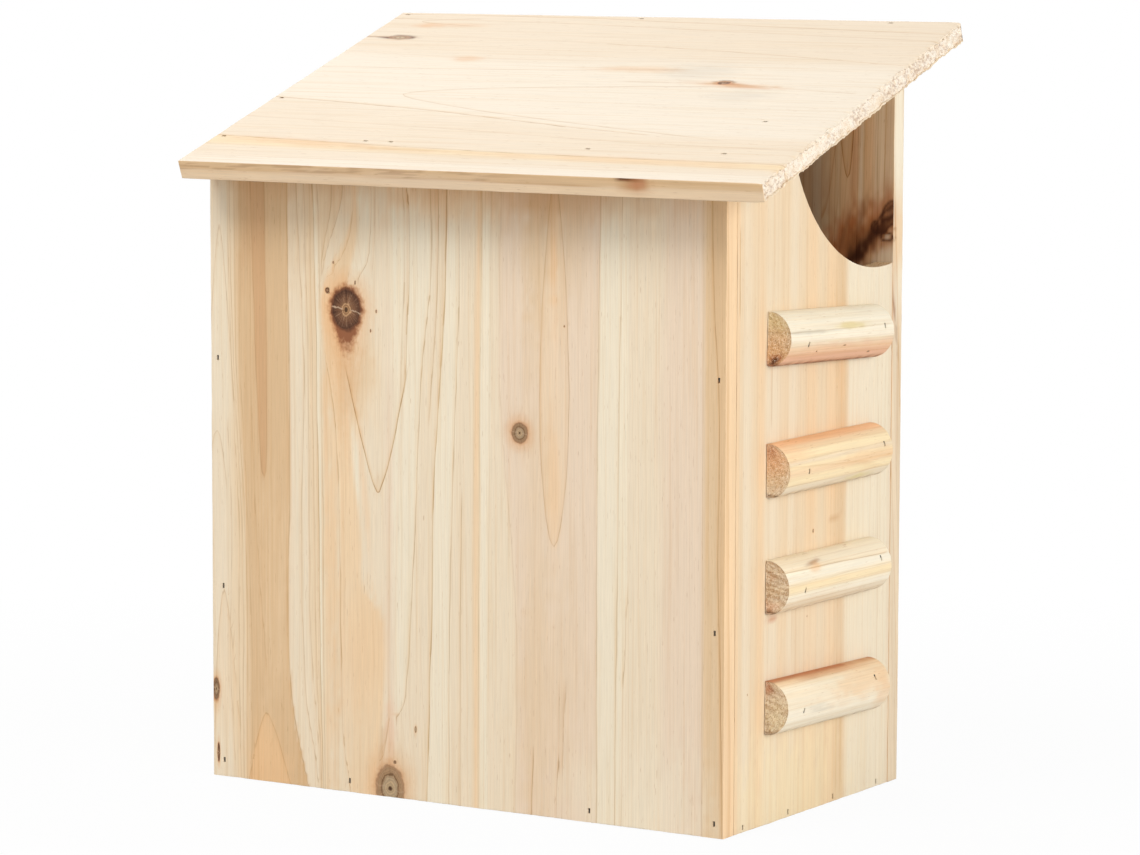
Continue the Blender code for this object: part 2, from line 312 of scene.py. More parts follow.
# %% [markdown]
# ## Knots
# A knot is a branch that was sawn through: its own small rings, a dark rim of bark where it died
# before the trunk closed round it, and a warm halo in the wood beside it. A picture of a knot could
# be laid on, but it would look the same each time. Here two ramps give the colours from the
# pith out, one for a live knot and one for a dead one, and each knot's darkness mixes them.

# %% Knots
DARK_KNOT = (
    (0.00, (0.08, 0.035, 0.015)),
    (0.07, (0.10, 0.05, 0.022)),
    (0.12, (0.50, 0.28, 0.13)),
    (0.17, (0.26, 0.13, 0.06)),
    (0.25, (0.54, 0.32, 0.16)),
    (0.33, (0.22, 0.105, 0.050)),
    (0.52, (0.165, 0.074, 0.037)),
    (0.75, (0.100, 0.042, 0.021)),
    (0.92, (0.085, 0.032, 0.016)),
    (1.00, (0.20, 0.075, 0.032)),
)
LIVE_KNOT = (
    (0.00, (0.05, 0.022, 0.012)),
    (0.07, (0.10, 0.055, 0.028)),
    (0.14, (0.46, 0.35, 0.21)),
    (0.42, (0.54, 0.42, 0.26)),
    (0.49, (0.44, 0.31, 0.17)),
    (0.56, (0.18, 0.100, 0.045)),
    (0.64, (0.46, 0.29, 0.15)),
    (0.82, (0.52, 0.33, 0.18)),
    (0.90, (0.25, 0.130, 0.058)),
    (0.95, (0.30, 0.160, 0.075)),
    (1.00, (0.50, 0.32, 0.18)),
)
RIM_TINT = ((0.0, (0.72, 0.45, 0.27)), (0.5, (0.46, 0.19, 0.080)), (1.0, (0.24, 0.080, 0.034)))
HALO_TINT = (0.93, 0.69, 0.49, 1.0)
HAIR_TINT = (0.58, 0.38, 0.24, 1.0)
CHAR_TINT = (0.42, 0.34, 0.30, 1.0)
CHECK_TINT = (0.60, 0.42, 0.28, 1.0)
HALO = ((0.45, 1.0), (0.62, 0.55), (1.0, 0.0))
HAIR_REACH = ((0.20, 0), (0.32, 1), (0.66, 0.8), (0.88, 0))
CHECK_REACH = ((0.15, 0), (0.3, 1), (0.9, 1), (1, 0))
CHECK_SLOPE = 0.13
KNOT_RINGS = 8.5


def knot_heart(tree, flat, oval, dark, uneven):
    """A knot's inside: rings from a pale pith out to a dark edge, pale hairs and one long check."""
    heart = blend(tree, "MIX", dark, ramp(tree, oval, LIVE_KNOT), ramp(tree, oval, DARK_KNOT))
    rings = math(tree, "FRACT", times(tree, oval, KNOT_RINGS))
    heart = blend(tree, "MULTIPLY", 1.0, heart, rescale(tree, rings, 0.3, 1.0, 1.10, 0.84))
    aim = add(tree, "VectorMath", {0: flat}, operation="NORMALIZE").outputs[0]
    across, along, _ = split(tree, aim)
    ray = add(tree, "CombineXYZ", {0: across, 1: along, 2: times(tree, oval, 0.10)}).outputs[0]
    hairs = pattern(tree, "knot_hairs", ray, 0.51, 0.66, 0.0, 0.85)
    hairs = times(tree, hairs, ramp(tree, oval, HAIR_REACH), rescale(tree, uneven, -0.06, 0.05, 1.0, 0.35))
    heart = blend(tree, "MIX", hairs, heart, HAIR_TINT)
    char = times(tree, pattern(tree, "knot_char", ray, 0.48, 0.62, 0.0, 0.6), dark)
    heart = blend(tree, "MULTIPLY", char, heart, CHAR_TINT)
    across, along, _ = split(tree, flat)
    level = math(tree, "MULTIPLY_ADD", across, CHECK_SLOPE, math(tree, "ADD", along, uneven))
    check = rescale(tree, math(tree, "ABSOLUTE", level), 0.01, 0.05, 0.8, 0.0)
    check = times(tree, check, dark, ramp(tree, oval, CHECK_REACH))
    return blend(tree, "MIX", check, heart, CHECK_TINT)


def knot_paint(tree, grain, base):
    """The knots over the wood: the heart, a red rim that fades outwards and down, a warm halo."""
    across, along, dark = split(tree, stored(tree, "knot"))
    flat = add(tree, "CombineXYZ", {0: across, 1: along}).outputs[0]
    uneven = pattern(tree, "knot_uneven", grain, 0.2, 0.8, -0.14, 0.14)
    ragged = pattern(tree, "knot_ragged", grain, 0.2, 0.8, -0.06, 0.06)
    reach = math(tree, "ADD", math(tree, "ADD", stored(tree, "reach", "Fac"), uneven), ragged)
    oval = math(tree, "ADD", length_of(tree, flat), times(tree, uneven, 0.5))
    heart = knot_heart(tree, flat, oval, dark, times(tree, uneven, 0.6))
    halo = times(tree, ramp(tree, times(tree, reach, 0.5), HALO), math(tree, "MULTIPLY_ADD", dark, 0.5, 0.5))
    warm = blend(tree, "MULTIPLY", halo, base, HALO_TINT)
    rim = math(tree, "SMOOTH_MIN", rescale(tree, reach, 0.90, 1.26, 1.0, 0.0), 0.96, 0.1)
    rim = times(tree, rim, math(tree, "MULTIPLY_ADD", dark, 0.85, 0.15))
    warm = blend(tree, "MIX", rim, warm, ramp(tree, rim, RIM_TINT))
    near = rescale(tree, reach, 1.1, 1.3, 1.0, 0.0)
    inside = times(tree, rescale(tree, oval, 0.82, 1.0, 1.0, 0.0), near)
    return blend(tree, "MIX", inside, warm, heart), inside


print("colours from pith to rim", len(DARK_KNOT), "dead", len(LIVE_KNOT), "live")

# %% [markdown]
# ## The whole material
# The effects are laid over each other in the order in which they grew and were sawn: the tone,
# the rings, the clear lines, the fibres, the cut ends, the dirt and last the knots. The same
# fibres and lines also raise and lower the surface a little, so that light shows them.

# %% Unfinished fir
STREAK_TINT = (0.93, 0.86, 0.76, 1.0)
CANAL_TINT = (0.66, 0.50, 0.36, 1.0)
PIT_TINT = (0.62, 0.44, 0.30, 1.0)
TORN_TINT = (0.96, 0.86, 0.70, 1.0)
DIRT_TINT = (0.34, 0.15, 0.07, 1.0)
RING_DRIFT = 0.07
GLOSS, FIBRE_DULLS, KNOT_SHINES = 0.22, 0.16, -0.05
RELIEF = 0.00018
LATE_SINKS, LINE_SINKS, PIT_SINKS = -0.35, -0.6, -2.0


def cut_grain(tree, colour, pores, end):
    """Sawn end grain: torn fibres stand pale between dark pits."""
    pits = rescale(tree, pores, 0.53, 0.62, 0.0, 1.0)
    ends = blend(tree, "MULTIPLY", pits, colour, PIT_TINT)
    ends = blend(tree, "MIX", rescale(tree, pores, 0.36, 0.46, 0.7, 0.0), ends, TORN_TINT)
    return blend(tree, "MIX", end, colour, ends), times(tree, pits, end)


def fir(name, roughness, bump, torn):
    """Unfinished fir for any board: tone, late wood, drawn lines, fibres, end grain and knots.
    Torn is how strongly pits show on the sawn ends."""
    made, tree = new_material(name)
    grain = stored(tree, "grain")
    figure, end, dirt = split(tree, stored(tree, "marks"))
    line, chance = ring_lines(tree, stored(tree, "rings", "Fac"), grain)
    colour = blend(tree, "MULTIPLY", times(tree, line, figure), stored(tree, "tone", "Color"), LATE_TINT)
    drift = times(tree, math(tree, "SUBTRACT", chance, 0.5), times(tree, figure, RING_DRIFT))
    colour = blend(tree, "MULTIPLY", 1.0, colour, math(tree, "ADD", drift, 1.0))
    count, strength, width = split(tree, stored(tree, "drawn"))
    nearest = math(tree, "SUBTRACT", math(tree, "FRACT", math(tree, "ADD", count, 0.5)), 0.5)
    colour, core = drawn_line(tree, grain, times(tree, nearest, width), strength, colour)
    distance, strength, _ = split(tree, stored(tree, "arch"))
    colour, bow = drawn_line(tree, grain, distance, strength, colour)
    streak = pattern(tree, "streaks", grain, 0.5, 0.75, 0.0, 0.8)
    colour = blend(tree, "MULTIPLY", streak, colour, STREAK_TINT)
    fibre = pattern(tree, "fibres", grain)
    colour = blend(tree, "MULTIPLY", 1.0, colour, rescale(tree, fibre, 0.25, 0.75, 0.94, 1.055))
    canal = pattern(tree, "canals", grain, 0.70, 0.78, 0.0, 0.6)
    colour = blend(tree, "MULTIPLY", canal, colour, CANAL_TINT)
    pores = pattern(tree, "pores", grain)
    colour, pits = cut_grain(tree, colour, pores, times(tree, end, torn))
    colour = blend(tree, "MULTIPLY", dirt, colour, DIRT_TINT)
    colour, inside = knot_paint(tree, grain, colour)
    shader = tree.nodes["Principled BSDF"]
    tree.links.new(colour, shader.inputs["Base Color"])
    sheen = math(tree, "MULTIPLY_ADD", inside, KNOT_SHINES, roughness)
    tree.links.new(math(tree, "MULTIPLY_ADD", fibre, FIBRE_DULLS, sheen), shader.inputs["Roughness"])
    shader.inputs["Specular IOR Level"].default_value = GLOSS
    height = math(tree, "MULTIPLY_ADD", line, LATE_SINKS, fibre)
    height = math(tree, "MULTIPLY_ADD", math(tree, "ADD", core, bow), LINE_SINKS, height)
    height = math(tree, "MULTIPLY_ADD", pits, PIT_SINKS, height)
    relief = add(tree, "Bump", {"Strength": bump, "Distance": RELIEF, "Height": height})
    tree.links.new(relief.outputs[0], shader.inputs["Normal"])
    return made


WALL_FIR = fir("wall_fir", 0.60, 0.35, 1.0)
ROOF_FIR = fir("roof_fir", 0.62, 0.30, 0.7)
RUNG_FIR = fir("rung_fir", 0.58, 0.45, 0.9)
print("fir nodes", len(WALL_FIR.node_tree.nodes))

# %% [markdown]
# ## Soft random numbers
# Planed boards are never quite flat and torn wood is never regular. One function gives a smooth
# random value between 0 and 1 for any place, the same on every run: random numbers on a small
# lattice, with a smooth blend between its corners.

# %% Lattice noise
CELLS = 32


def smooth(s):
    """s*s*(3 - 2*s), which runs from 0 to 1 with level ends."""
    return s * s * (3.0 - 2.0 * s)


def soft_random(seed, *places):
    """Random values at the corners of cells, blended smoothly across each cell."""
    table = np.random.default_rng(seed).random((CELLS,) * len(places))
    base = [np.floor(place).astype(int) for place in places]
    step = [smooth(place - low) for place, low in zip(places, base)]
    total = 0.0
    for corner in itertools.product((0, 1), repeat=len(places)):
        weight = 1.0
        for up, s in zip(corner, step):
            weight = weight * (s if up else 1.0 - s)
        total = total + weight * table[tuple((low + up) % CELLS for low, up in zip(base, corner))]
    return total


print("noise sample", soft_random(1, np.array([0.5]), np.array([2.5])).round(3))

# %% [markdown]
# ## A board as the skin of a lattice
# Every board is a box of wood measured across (a), inwards from the shown face (d) and along
# the grain (g), in millimetres. Lines are laid through it in the three directions, closer
# where there is detail: at the edges, at the brad slots and round the knots. The skin is every
# crossing that lies on an outer side, so neighbouring sides share their points and the surface
# is closed without a seam.

# %% Lattice skin
EDGE_LINES = np.array([0.0, 0.12, 0.35, 0.8])
SAME_LINE = 0.015


def quads(ids):
    """Four corners of every cell in a sheet of point numbers, in turning order."""
    corners = (ids[:-1, :-1], ids[1:, :-1], ids[1:, 1:], ids[:-1, 1:])
    return np.stack([corner.ravel() for corner in corners], axis=1)


def lattice_skin(across, deep, along):
    """Points and outward quads of the closed skin of a lattice with these three sets of lines."""
    counts = (len(across), len(deep), len(along))
    place = np.indices(counts)
    last = np.array(counts).reshape(3, 1, 1, 1) - 1
    skin = ((place == 0) | (place == last)).any(axis=0)
    ids = np.full(counts, -1)
    ids[skin] = np.arange(skin.sum())
    sheets = (
        quads(ids[:, 0, :]), quads(ids[:, -1, :])[:, ::-1],
        quads(ids[0].T), quads(ids[-1].T)[:, ::-1],
        quads(ids[:, :, 0].T), quads(ids[:, :, -1].T)[:, ::-1],
    )
    i, k, j = np.nonzero(skin)
    return across[i], deep[k], along[j], np.concatenate(sheets)


def lines(length, step, *closer):
    """Lines close to both edges, the closer sets that are asked for, and even lines over the
    length where they are half a step or more from those. Lines that nearly meet become one."""
    close = np.concatenate([EDGE_LINES, length - EDGE_LINES, *closer])
    close = close[(close >= 0) & (close <= length)]
    even = np.linspace(0, length, max(2, int(round(length / step)) + 1))
    even = even[np.abs(even[:, None] - close).min(axis=1) > step / 2]
    wanted = np.sort(np.append(close, even))
    return wanted[np.append(True, np.diff(wanted) > SAME_LINE)]


a, d, g, faces = lattice_skin(lines(10, 5), lines(5, 5), lines(10, 5))
print("a small block has", len(a), "points and", len(faces), "faces")

# %% [markdown]
# ## Reading a board off its node
# A board's corner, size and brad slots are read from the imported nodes, so that a wall in its
# place has one source. The board's axes are given by the way its shown face looks and the way
# its grain runs; the third is square to both.

# %% Board places
HEAD_DEPTH = 0.8


def node_points(name):
    """A node's points as an array, in millimetres."""
    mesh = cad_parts[name].data
    flat = np.empty(len(mesh.vertices) * 3, np.float32)
    mesh.vertices.foreach_get("co", flat)
    return flat.reshape(-1, 3) / MM


class Board:
    """One piece of fir: its node, its axes, corner and size, and the slots of its brads."""

    def __init__(self, node, outward, along, brads=()):
        self.node = node
        outward, along = np.asarray(outward, float), np.asarray(along, float)
        self.axes = np.stack([np.cross(along, outward), -outward, along])
        points = node_points(node) @ self.axes.T
        self.corner = points.min(axis=0)
        self.size = points.max(axis=0) - self.corner
        self.slots = [self.slot(name) for name in sorted(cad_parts) if name.startswith(brads)]

    def slot(self, brad):
        """Middle and half size, across and along, of the slot that a brad's head sits in."""
        points = node_points(brad) @ self.axes.T - self.corner
        points = points[points[:, 1] < points[:, 1].min() + HEAD_DEPTH]
        low, high = points.min(axis=0), points.max(axis=0)
        return ((low + high) / 2)[[0, 2]], ((high - low) / 2)[[0, 2]]

    def place(self, a, d, g):
        """Where points of the board lie, in metres."""
        return (np.stack([a, d, g], axis=1) + self.corner) @ self.axes * MM


UP, BACK, RIGHT = (0, 0, 1), (0, 1, 0), (1, 0, 0)
PITCH_OF_ROOF = np.radians(19.1)
SKYWARD = (0.0, -np.sin(PITCH_OF_ROOF), np.cos(PITCH_OF_ROOF))
front = Board("front_panel", (0, -1, 0), UP, "front_brad")
back = Board("back_panel", BACK, UP, "back_brad")
left = Board("left_side", (-1, 0, 0), UP, "left_brad")
right = Board("right_side", RIGHT, UP, "right_brad")
base = Board("floor_board", UP, RIGHT)
roof = Board("roof_board", SKYWARD, RIGHT, "roof_brad")
for board in (front, back, left, right, base, roof):
    print(board.node, board.size.round(1), "slots", len(board.slots))

# %% [markdown]
# ## The rings of a board
# A board is glued up from strips, each sawn from its own place in a tree. A strip's rings are
# circles round the tree's pith, so the ring number is the distance from the pith over the width
# of a ring. Where the pith line leans towards the face, the same circles come out as arches.
# Round a knot the grain parts as water does round a post: the distance across is drawn in by
# R*R / (distance squared), which leaves the lines straight far away and bends them close by.
# A knot's row gives its middle, its half sizes, how dark it is, and a tail if it has one.

# %% Ring numbers
FLOW_STRETCH, FLOW_REACH, FLOW_CORE = 0.55, 1.15, 0.35
STRIP_JUMP = 17.0
TAIL_NARROWS, TAIL_STRETCHES = 0.15, 0.5
FAR = 9.0
STRIP_COLUMNS = "start pith depth lean bend ring figure".split()


def strips(*rows):
    """A board's glued strips: where each starts, its pith, its rings and how plainly they show."""
    table = np.array(rows, float)
    return {name: table[:, column] for column, name in enumerate(STRIP_COLUMNS)}


def past_knots(a, g, knots):
    """Distance across, drawn towards each knot's middle so that equal values part round it."""
    for middle, height, half, tall, *_ in knots:
        across = a - middle
        along = (g - height) * half / tall * FLOW_STRETCH
        reach = FLOW_REACH * half
        a = a - across * reach**2 / (across**2 + along**2 + FLOW_CORE * reach**2)
    return a


def ring_numbers(a, d, g, wood, knots):
    """Distance of each point from its strip's pith line, over the ring width, and the strip."""
    strip = np.searchsorted(wood["start"], a, side="right") - 1
    pith, depth, lean, bend, ring = (wood[name][strip] for name in STRIP_COLUMNS[1:6])
    level = depth + lean * g / 100.0 + bend * (g / 100.0) ** 2
    radius = np.hypot(past_knots(a, g, knots) - pith, level + d)
    return radius / ring + STRIP_JUMP * strip, strip


def nearest_knot(a, g, knots):
    """Place of each point from its nearest knot in that knot's half sizes, its darkness, and the
    distance in the same measure, where a knot's tail stretches and narrows its lower part."""
    if not len(knots):
        return np.tile((FAR, FAR, 0.0), (len(a), 1)), np.full(len(a), FAR)
    table = np.array([(*row, 0.0)[:6] for row in knots])
    across = (a[:, None] - table[:, 0]) / table[:, 2]
    along = (g[:, None] - table[:, 1]) / table[:, 3]
    low = np.maximum(-along, 0.0) * table[:, 5]
    reach = np.hypot(across * (1.0 + TAIL_NARROWS * low), along / (1.0 + TAIL_STRETCHES * low))
    pick = np.argmin(reach, axis=1)
    each = np.arange(len(a))
    near = np.stack([across[each, pick], along[each, pick], table[pick, 4]], axis=1)
    return near, reach[each, pick]


# %% [markdown]
# ## Lines and colours that are drawn one by one
# Circles and knots give the quiet figure. The few plain lines that the eye follows on a board,
# and the bands of colour between them, come from tables in the board's own millimetres. Every
# colour in them is one of some twenty tones of fir, of its knots and of what stains it. A painted
# picture could do the same, but a table stays sharp close up and is changed a row at a time.
#
# A chart goes from left to right. A row names the wood beyond the line, how strong the line is,
# how softly the colour changes there, and the places, across and up, that it runs through. It
# shows between its first and its last place; places with a 0 after them only keep the rows in
# order. An arch row is a pointed or round arch whose half width grows with a power of the
# distance from its tip. A stain row is a soft oval with uneven edges: its tone, its strength, its
# middle and its half sizes, then its lean if it leans, and a 1 if it is only a rim.
# A few stain rows are painted shade and one is painted light; a comment marks each.

# %% Charts, arches and stains
TONES = {
    "white": (240, 229, 206),
    "pale": (233, 217, 190),
    "ivory": (236, 221, 194),
    "cream": (230, 210, 181),
    "sand": (228, 203, 169),
    "rose": (227, 203, 176),
    "butter": (240, 219, 178),
    "peach": (232, 201, 162),
    "apricot": (231, 188, 140),
    "blush": (227, 181, 149),
    "coral": (239, 187, 142),
    "tan": (221, 190, 151),
    "honey": (214, 179, 137),
    "brown": (204, 160, 116),
    "rust": (192, 126, 86),
    "amber": (180, 104, 54),
    "umber": (148, 94, 54),
    "pitch": (68, 32, 15),
    "olive": (222, 204, 142),
    "grey": (196, 190, 174),
}
LINE_FADE = 5.0
LEAST_WIDTH, OPEN_WIDTH = 0.4, 12.0
ARCH_END, ARCH_FADE = 1.2, 0.2
ARCH_SOFT, ARCH_NEAR = 1.5, (1.4, 2.5)
RAGGED = 0.55
RIM_WIDTH = 0.28


def by_height(place):
    """How far up a place lies."""
    return place[1]


def chart(*rows):
    """A board's lines: the wood beyond each, its strength, its softness and its path."""
    return {
        "tone": linear([TONES[name] for name, *_ in rows]),
        "strength": np.array([row[1] for row in rows], float),
        "soft": np.array([row[2] for row in rows], float),
        "paths": [np.array(sorted([place[:2] for place in row[3:]], key=by_height)) for row in rows],
        "ends": [sorted(place[1] for place in row[3:] if len(place) == 2) for row in rows],
    }


def run_through(path, g):
    """A smooth curve through a line's places: in each stretch a cubic whose slopes at both ends
    are those between the neighbouring places. It keeps its end places beyond them."""
    places, heights = path.T
    if len(heights) == 1:
        return np.full(len(g), places[0])
    slopes = np.gradient(places, heights)
    span = np.clip(np.searchsorted(heights, g) - 1, 0, len(heights) - 2)
    wide = heights[span + 1] - heights[span]
    t = np.clip((g - heights[span]) / wide, 0.0, 1.0)
    start, end = places[span], places[span + 1]
    bend = slopes[span] * (1.0 - t) - slopes[span + 1] * t
    return start + (end - start) * smooth(t) + bend * wide * t * (1.0 - t)


def shown(ends, g):
    """1 between a line's end heights and 0 a little beyond them; a single place has no ends."""
    if len(ends) == 1:
        return np.ones(len(g))
    beyond = np.maximum(ends[0] - g, g - ends[-1])
    return np.clip(1.0 - beyond / LINE_FADE, 0.0, 1.0)


def soft_step(value):
    """From 0 to 1 as the value goes from -1/2 to 1/2, with level ends."""
    return smooth(np.clip(value + 0.5, 0.0, 1.0))


def mixed(tone, other, share):
    """Colours drawn towards another colour by a share at each point."""
    return tone + share[:, None] * (other - tone)


def charted(a, g, lines_of):
    """Line number, strength and cell width at each point, and the colour between the lines."""
    places = np.array([run_through(path, g) for path in lines_of["paths"]])
    places = np.maximum.accumulate(places, axis=0)
    cell = np.clip((places <= a).sum(axis=0) - 1, 0, len(places) - 1)
    each = np.arange(len(a))
    beyond = np.minimum(cell + 1, len(places) - 1)
    left, right = places[cell, each], places[beyond, each]
    width = np.where(beyond > cell, np.maximum(right - left, LEAST_WIDTH), OPEN_WIDTH)
    along = np.clip((a - left) / width, 0.0, 1.0)
    plain = np.array([shown(ends, g) for ends in lines_of["ends"]]) * lines_of["strength"][:, None]
    strength = plain[cell, each] * (1.0 - along) + plain[beyond, each] * along * (beyond > cell)
    steps = soft_step((a - places[1:]) / lines_of["soft"][1:, None])
    tone = lines_of["tone"][0] + steps.T @ np.diff(lines_of["tone"], axis=0)
    return np.stack([cell + along, strength, width], axis=1), tone


def arched(tone, a, g, arches):
    """Arches over the colour. Half width is width * t**power * (1 - close * t), where t runs from
    0 at the tip to 1 at the reach; a point's distance from the arch is measured square to it."""
    near, weight = np.full(len(a), FAR), np.zeros(len(a))
    for middle, tip, reach, width, power, close, lean, strength, fill, name in arches:
        t = (g - tip) / reach
        up = np.maximum(t, 1e-3)
        half = width * up**power * (1.0 - close * np.minimum(up, 1.1))
        away = (np.abs(a - middle - lean * t) - half) / np.hypot(1.0, power * half / (up * reach))
        away = away + np.maximum(-t, 0.0) * abs(reach)
        seen = np.clip((ARCH_END - t) / ARCH_FADE, 0.0, 1.0)
        tone = mixed(tone, linear(TONES[name]), fill * seen * soft_step(-away / ARCH_SOFT))
        closer = np.abs(away) < np.abs(near)
        line = strength * seen * np.clip(ARCH_NEAR[0] - np.abs(away) / ARCH_NEAR[1], 0.0, 1.0)
        near, weight = np.where(closer, away, near), np.where(closer, line, weight)
    return tone, np.stack([near, weight, np.zeros(len(a))], axis=1)


def stained(tone, a, g, stains):
    """Colour under ovals. An oval's share falls as exp(-r**3) with the distance r in half sizes, and
    a rim's as a narrow bell round r = 1."""
    ragged = RAGGED * (soft_random(81, a / 2.2, g / 4.5) + soft_random(82, a / 8.0, g / 20.0) - 1.0)
    for name, strength, middle, height, half, tall, *more in stains:
        lean, rim = (*more, 0, 0)[:2]
        away = np.hypot((a - middle - lean * (g - height)) / half, (g - height) / tall) + ragged
        away = np.maximum(away, 0.0)
        share = np.exp(-(((away - 1.0) / RIM_WIDTH) ** 2)) if rim else np.exp(-(away**3))
        tone = mixed(tone, linear(TONES[name]), strength * share)
    return tone


print("tones", len(TONES))

# %% [markdown]
# ## From lattice to board
# The skin of the lattice is first a sharp box. Its edges are eased by pulling each point to a
# small distance from a slightly smaller box inside, which leaves the flats flat. Then the
# surface is pressed in along its own outward direction, by the depth of the slots, the knots'
# checks, the saw marks and a slight waviness. Last, a board's own shape function bends the box
# into what the board is: a wall with a sloping top, a notch or a half-round.

# %% Slots, knots and eased edges
SLOT_DEPTH = 1.25
SLOT_ROOM = 0.12
SLOT_WALL = 0.05
SEAM_WALL = 0.12
KNOT_SPAN, KNOT_LINES_PER_MM, KNOT_LINES = 1.35, 2.2, (5, 17)
KNOT_RAYS, KNOT_DISH, KNOT_CHECK = 16.0, 0.16, 0.30
CHECK_ABOVE, CHECK_FROM, CHECK_TO = 0.80, 0.15, 0.85


def closer_lines(board, wood, knots, side):
    """Lines at the slots' edges, at the strips' seams and through the knots, for one direction."""
    sets = []
    for middle, half in board.slots:
        reach = half[side] + SLOT_ROOM
        edge = np.array([-reach - SLOT_WALL, -reach, reach, reach + SLOT_WALL])
        sets.append(middle[side] + edge)
    for row in knots:
        span = KNOT_SPAN * row[2 + side]
        count = int(np.clip(KNOT_LINES_PER_MM * row[2 + side], *KNOT_LINES))
        sets.append(row[side] + np.linspace(-span, span, count))
    if side == 0:
        sets.extend((seam - SEAM_WALL, seam + SEAM_WALL) for seam in wood["start"][1:])
    return sets


def slot_depth(board, a, g):
    """How far the brad slots reach in at each point of the shown face."""
    deep = np.zeros(len(a))
    for middle, half in board.slots:
        inside = np.abs(a - middle[0]) < half[0] + SLOT_ROOM + SLOT_WALL / 2
        inside &= np.abs(g - middle[1]) < half[1] + SLOT_ROOM + SLOT_WALL / 2
        deep[inside] = SLOT_DEPTH
    return deep


def knot_depth(near, reach, seed):
    """How far a knot has shrunk into the board: a shallow dish with radial checks."""
    turn = np.arctan2(near[:, 1], near[:, 0]) * KNOT_RAYS / np.pi
    check = soft_random(seed, turn + KNOT_RAYS) > CHECK_ABOVE
    between = (reach > CHECK_FROM) & (reach < CHECK_TO)
    return near[:, 2] * (KNOT_DISH * np.exp(-(reach**4)) + KNOT_CHECK * (check & between))


def eased(a, d, g, size, radius):
    """The box with rounded edges, and the outward direction at each point."""
    points = np.stack([a, d, g], axis=1)
    radius = np.minimum(radius, size.min() / 2.05)[:, None]
    inner = np.clip(points, radius, size - radius)
    away = points - inner
    outward = away / np.linalg.norm(away, axis=1, keepdims=True)
    return inner + outward * radius, outward


def facing(outward, side, steep=1.0, less=0.0):
    """How far the surface looks to a side (0 across, 1 inwards, 2 along): 1 there, 0 past the edge."""
    return np.clip(outward[:, side] * steep - less, 0.0, 1.0)


print("slots reach in", SLOT_DEPTH, "mm, dead knots up to", round(KNOT_DISH + KNOT_CHECK, 2), "mm")

# %% [markdown]
# ## Making a board
# One function makes every board, so that all of them are worked the same way. What sets a board
# apart comes in as tables, as a painted light that scales its colour, and as three functions of its
# own: one roughens its surface, one paints its edges and, on some boards, painted light and shade,
# and one bends it into shape. Boards of wall fir also get painted shade on their inner faces. The
# mesh is written from whole arrays, and the values for the material are stored in its points, where
# no other board can disturb them.

# %% Making a board
GRAIN_SHIFT = 400.0
WARP, SAW_WAVE, TORN_END = 0.10, 0.04, 0.22
ON_FACE = 0.9
SHARP_EDGE = np.radians(38)
# Painted shade for the inner faces of the walls, where the box is dark inside.
INNER_PAINTED_SHADE = np.array((0.80, 0.74, 0.67))


def write_mesh(name, points, faces, values, material):
    """A smooth mesh object at the origin, with the wood's values stored in its points."""
    mesh = bpy.data.meshes.new(name)
    mesh.from_pydata(points.tolist(), [], faces)
    for key, array in values.items():
        kind, slot = ("FLOAT", "value") if array.ndim == 1 else ("FLOAT_VECTOR", "vector")
        if key == "tone":
            kind, slot = "FLOAT_COLOR", "color"
            array = np.column_stack([array, np.ones(len(array))])
        layer = mesh.attributes.new(key, kind, "POINT")
        layer.data.foreach_set(slot, array.astype(np.float32).ravel())
    mesh.polygons.foreach_set("use_smooth", np.ones(len(faces), bool))
    mesh.set_sharp_from_angle(angle=SHARP_EDGE)
    mesh.materials.append(material)
    mesh.validate()
    piece = bpy.data.objects.new(name, mesh)
    SCENE.collection.objects.link(piece)
    return piece


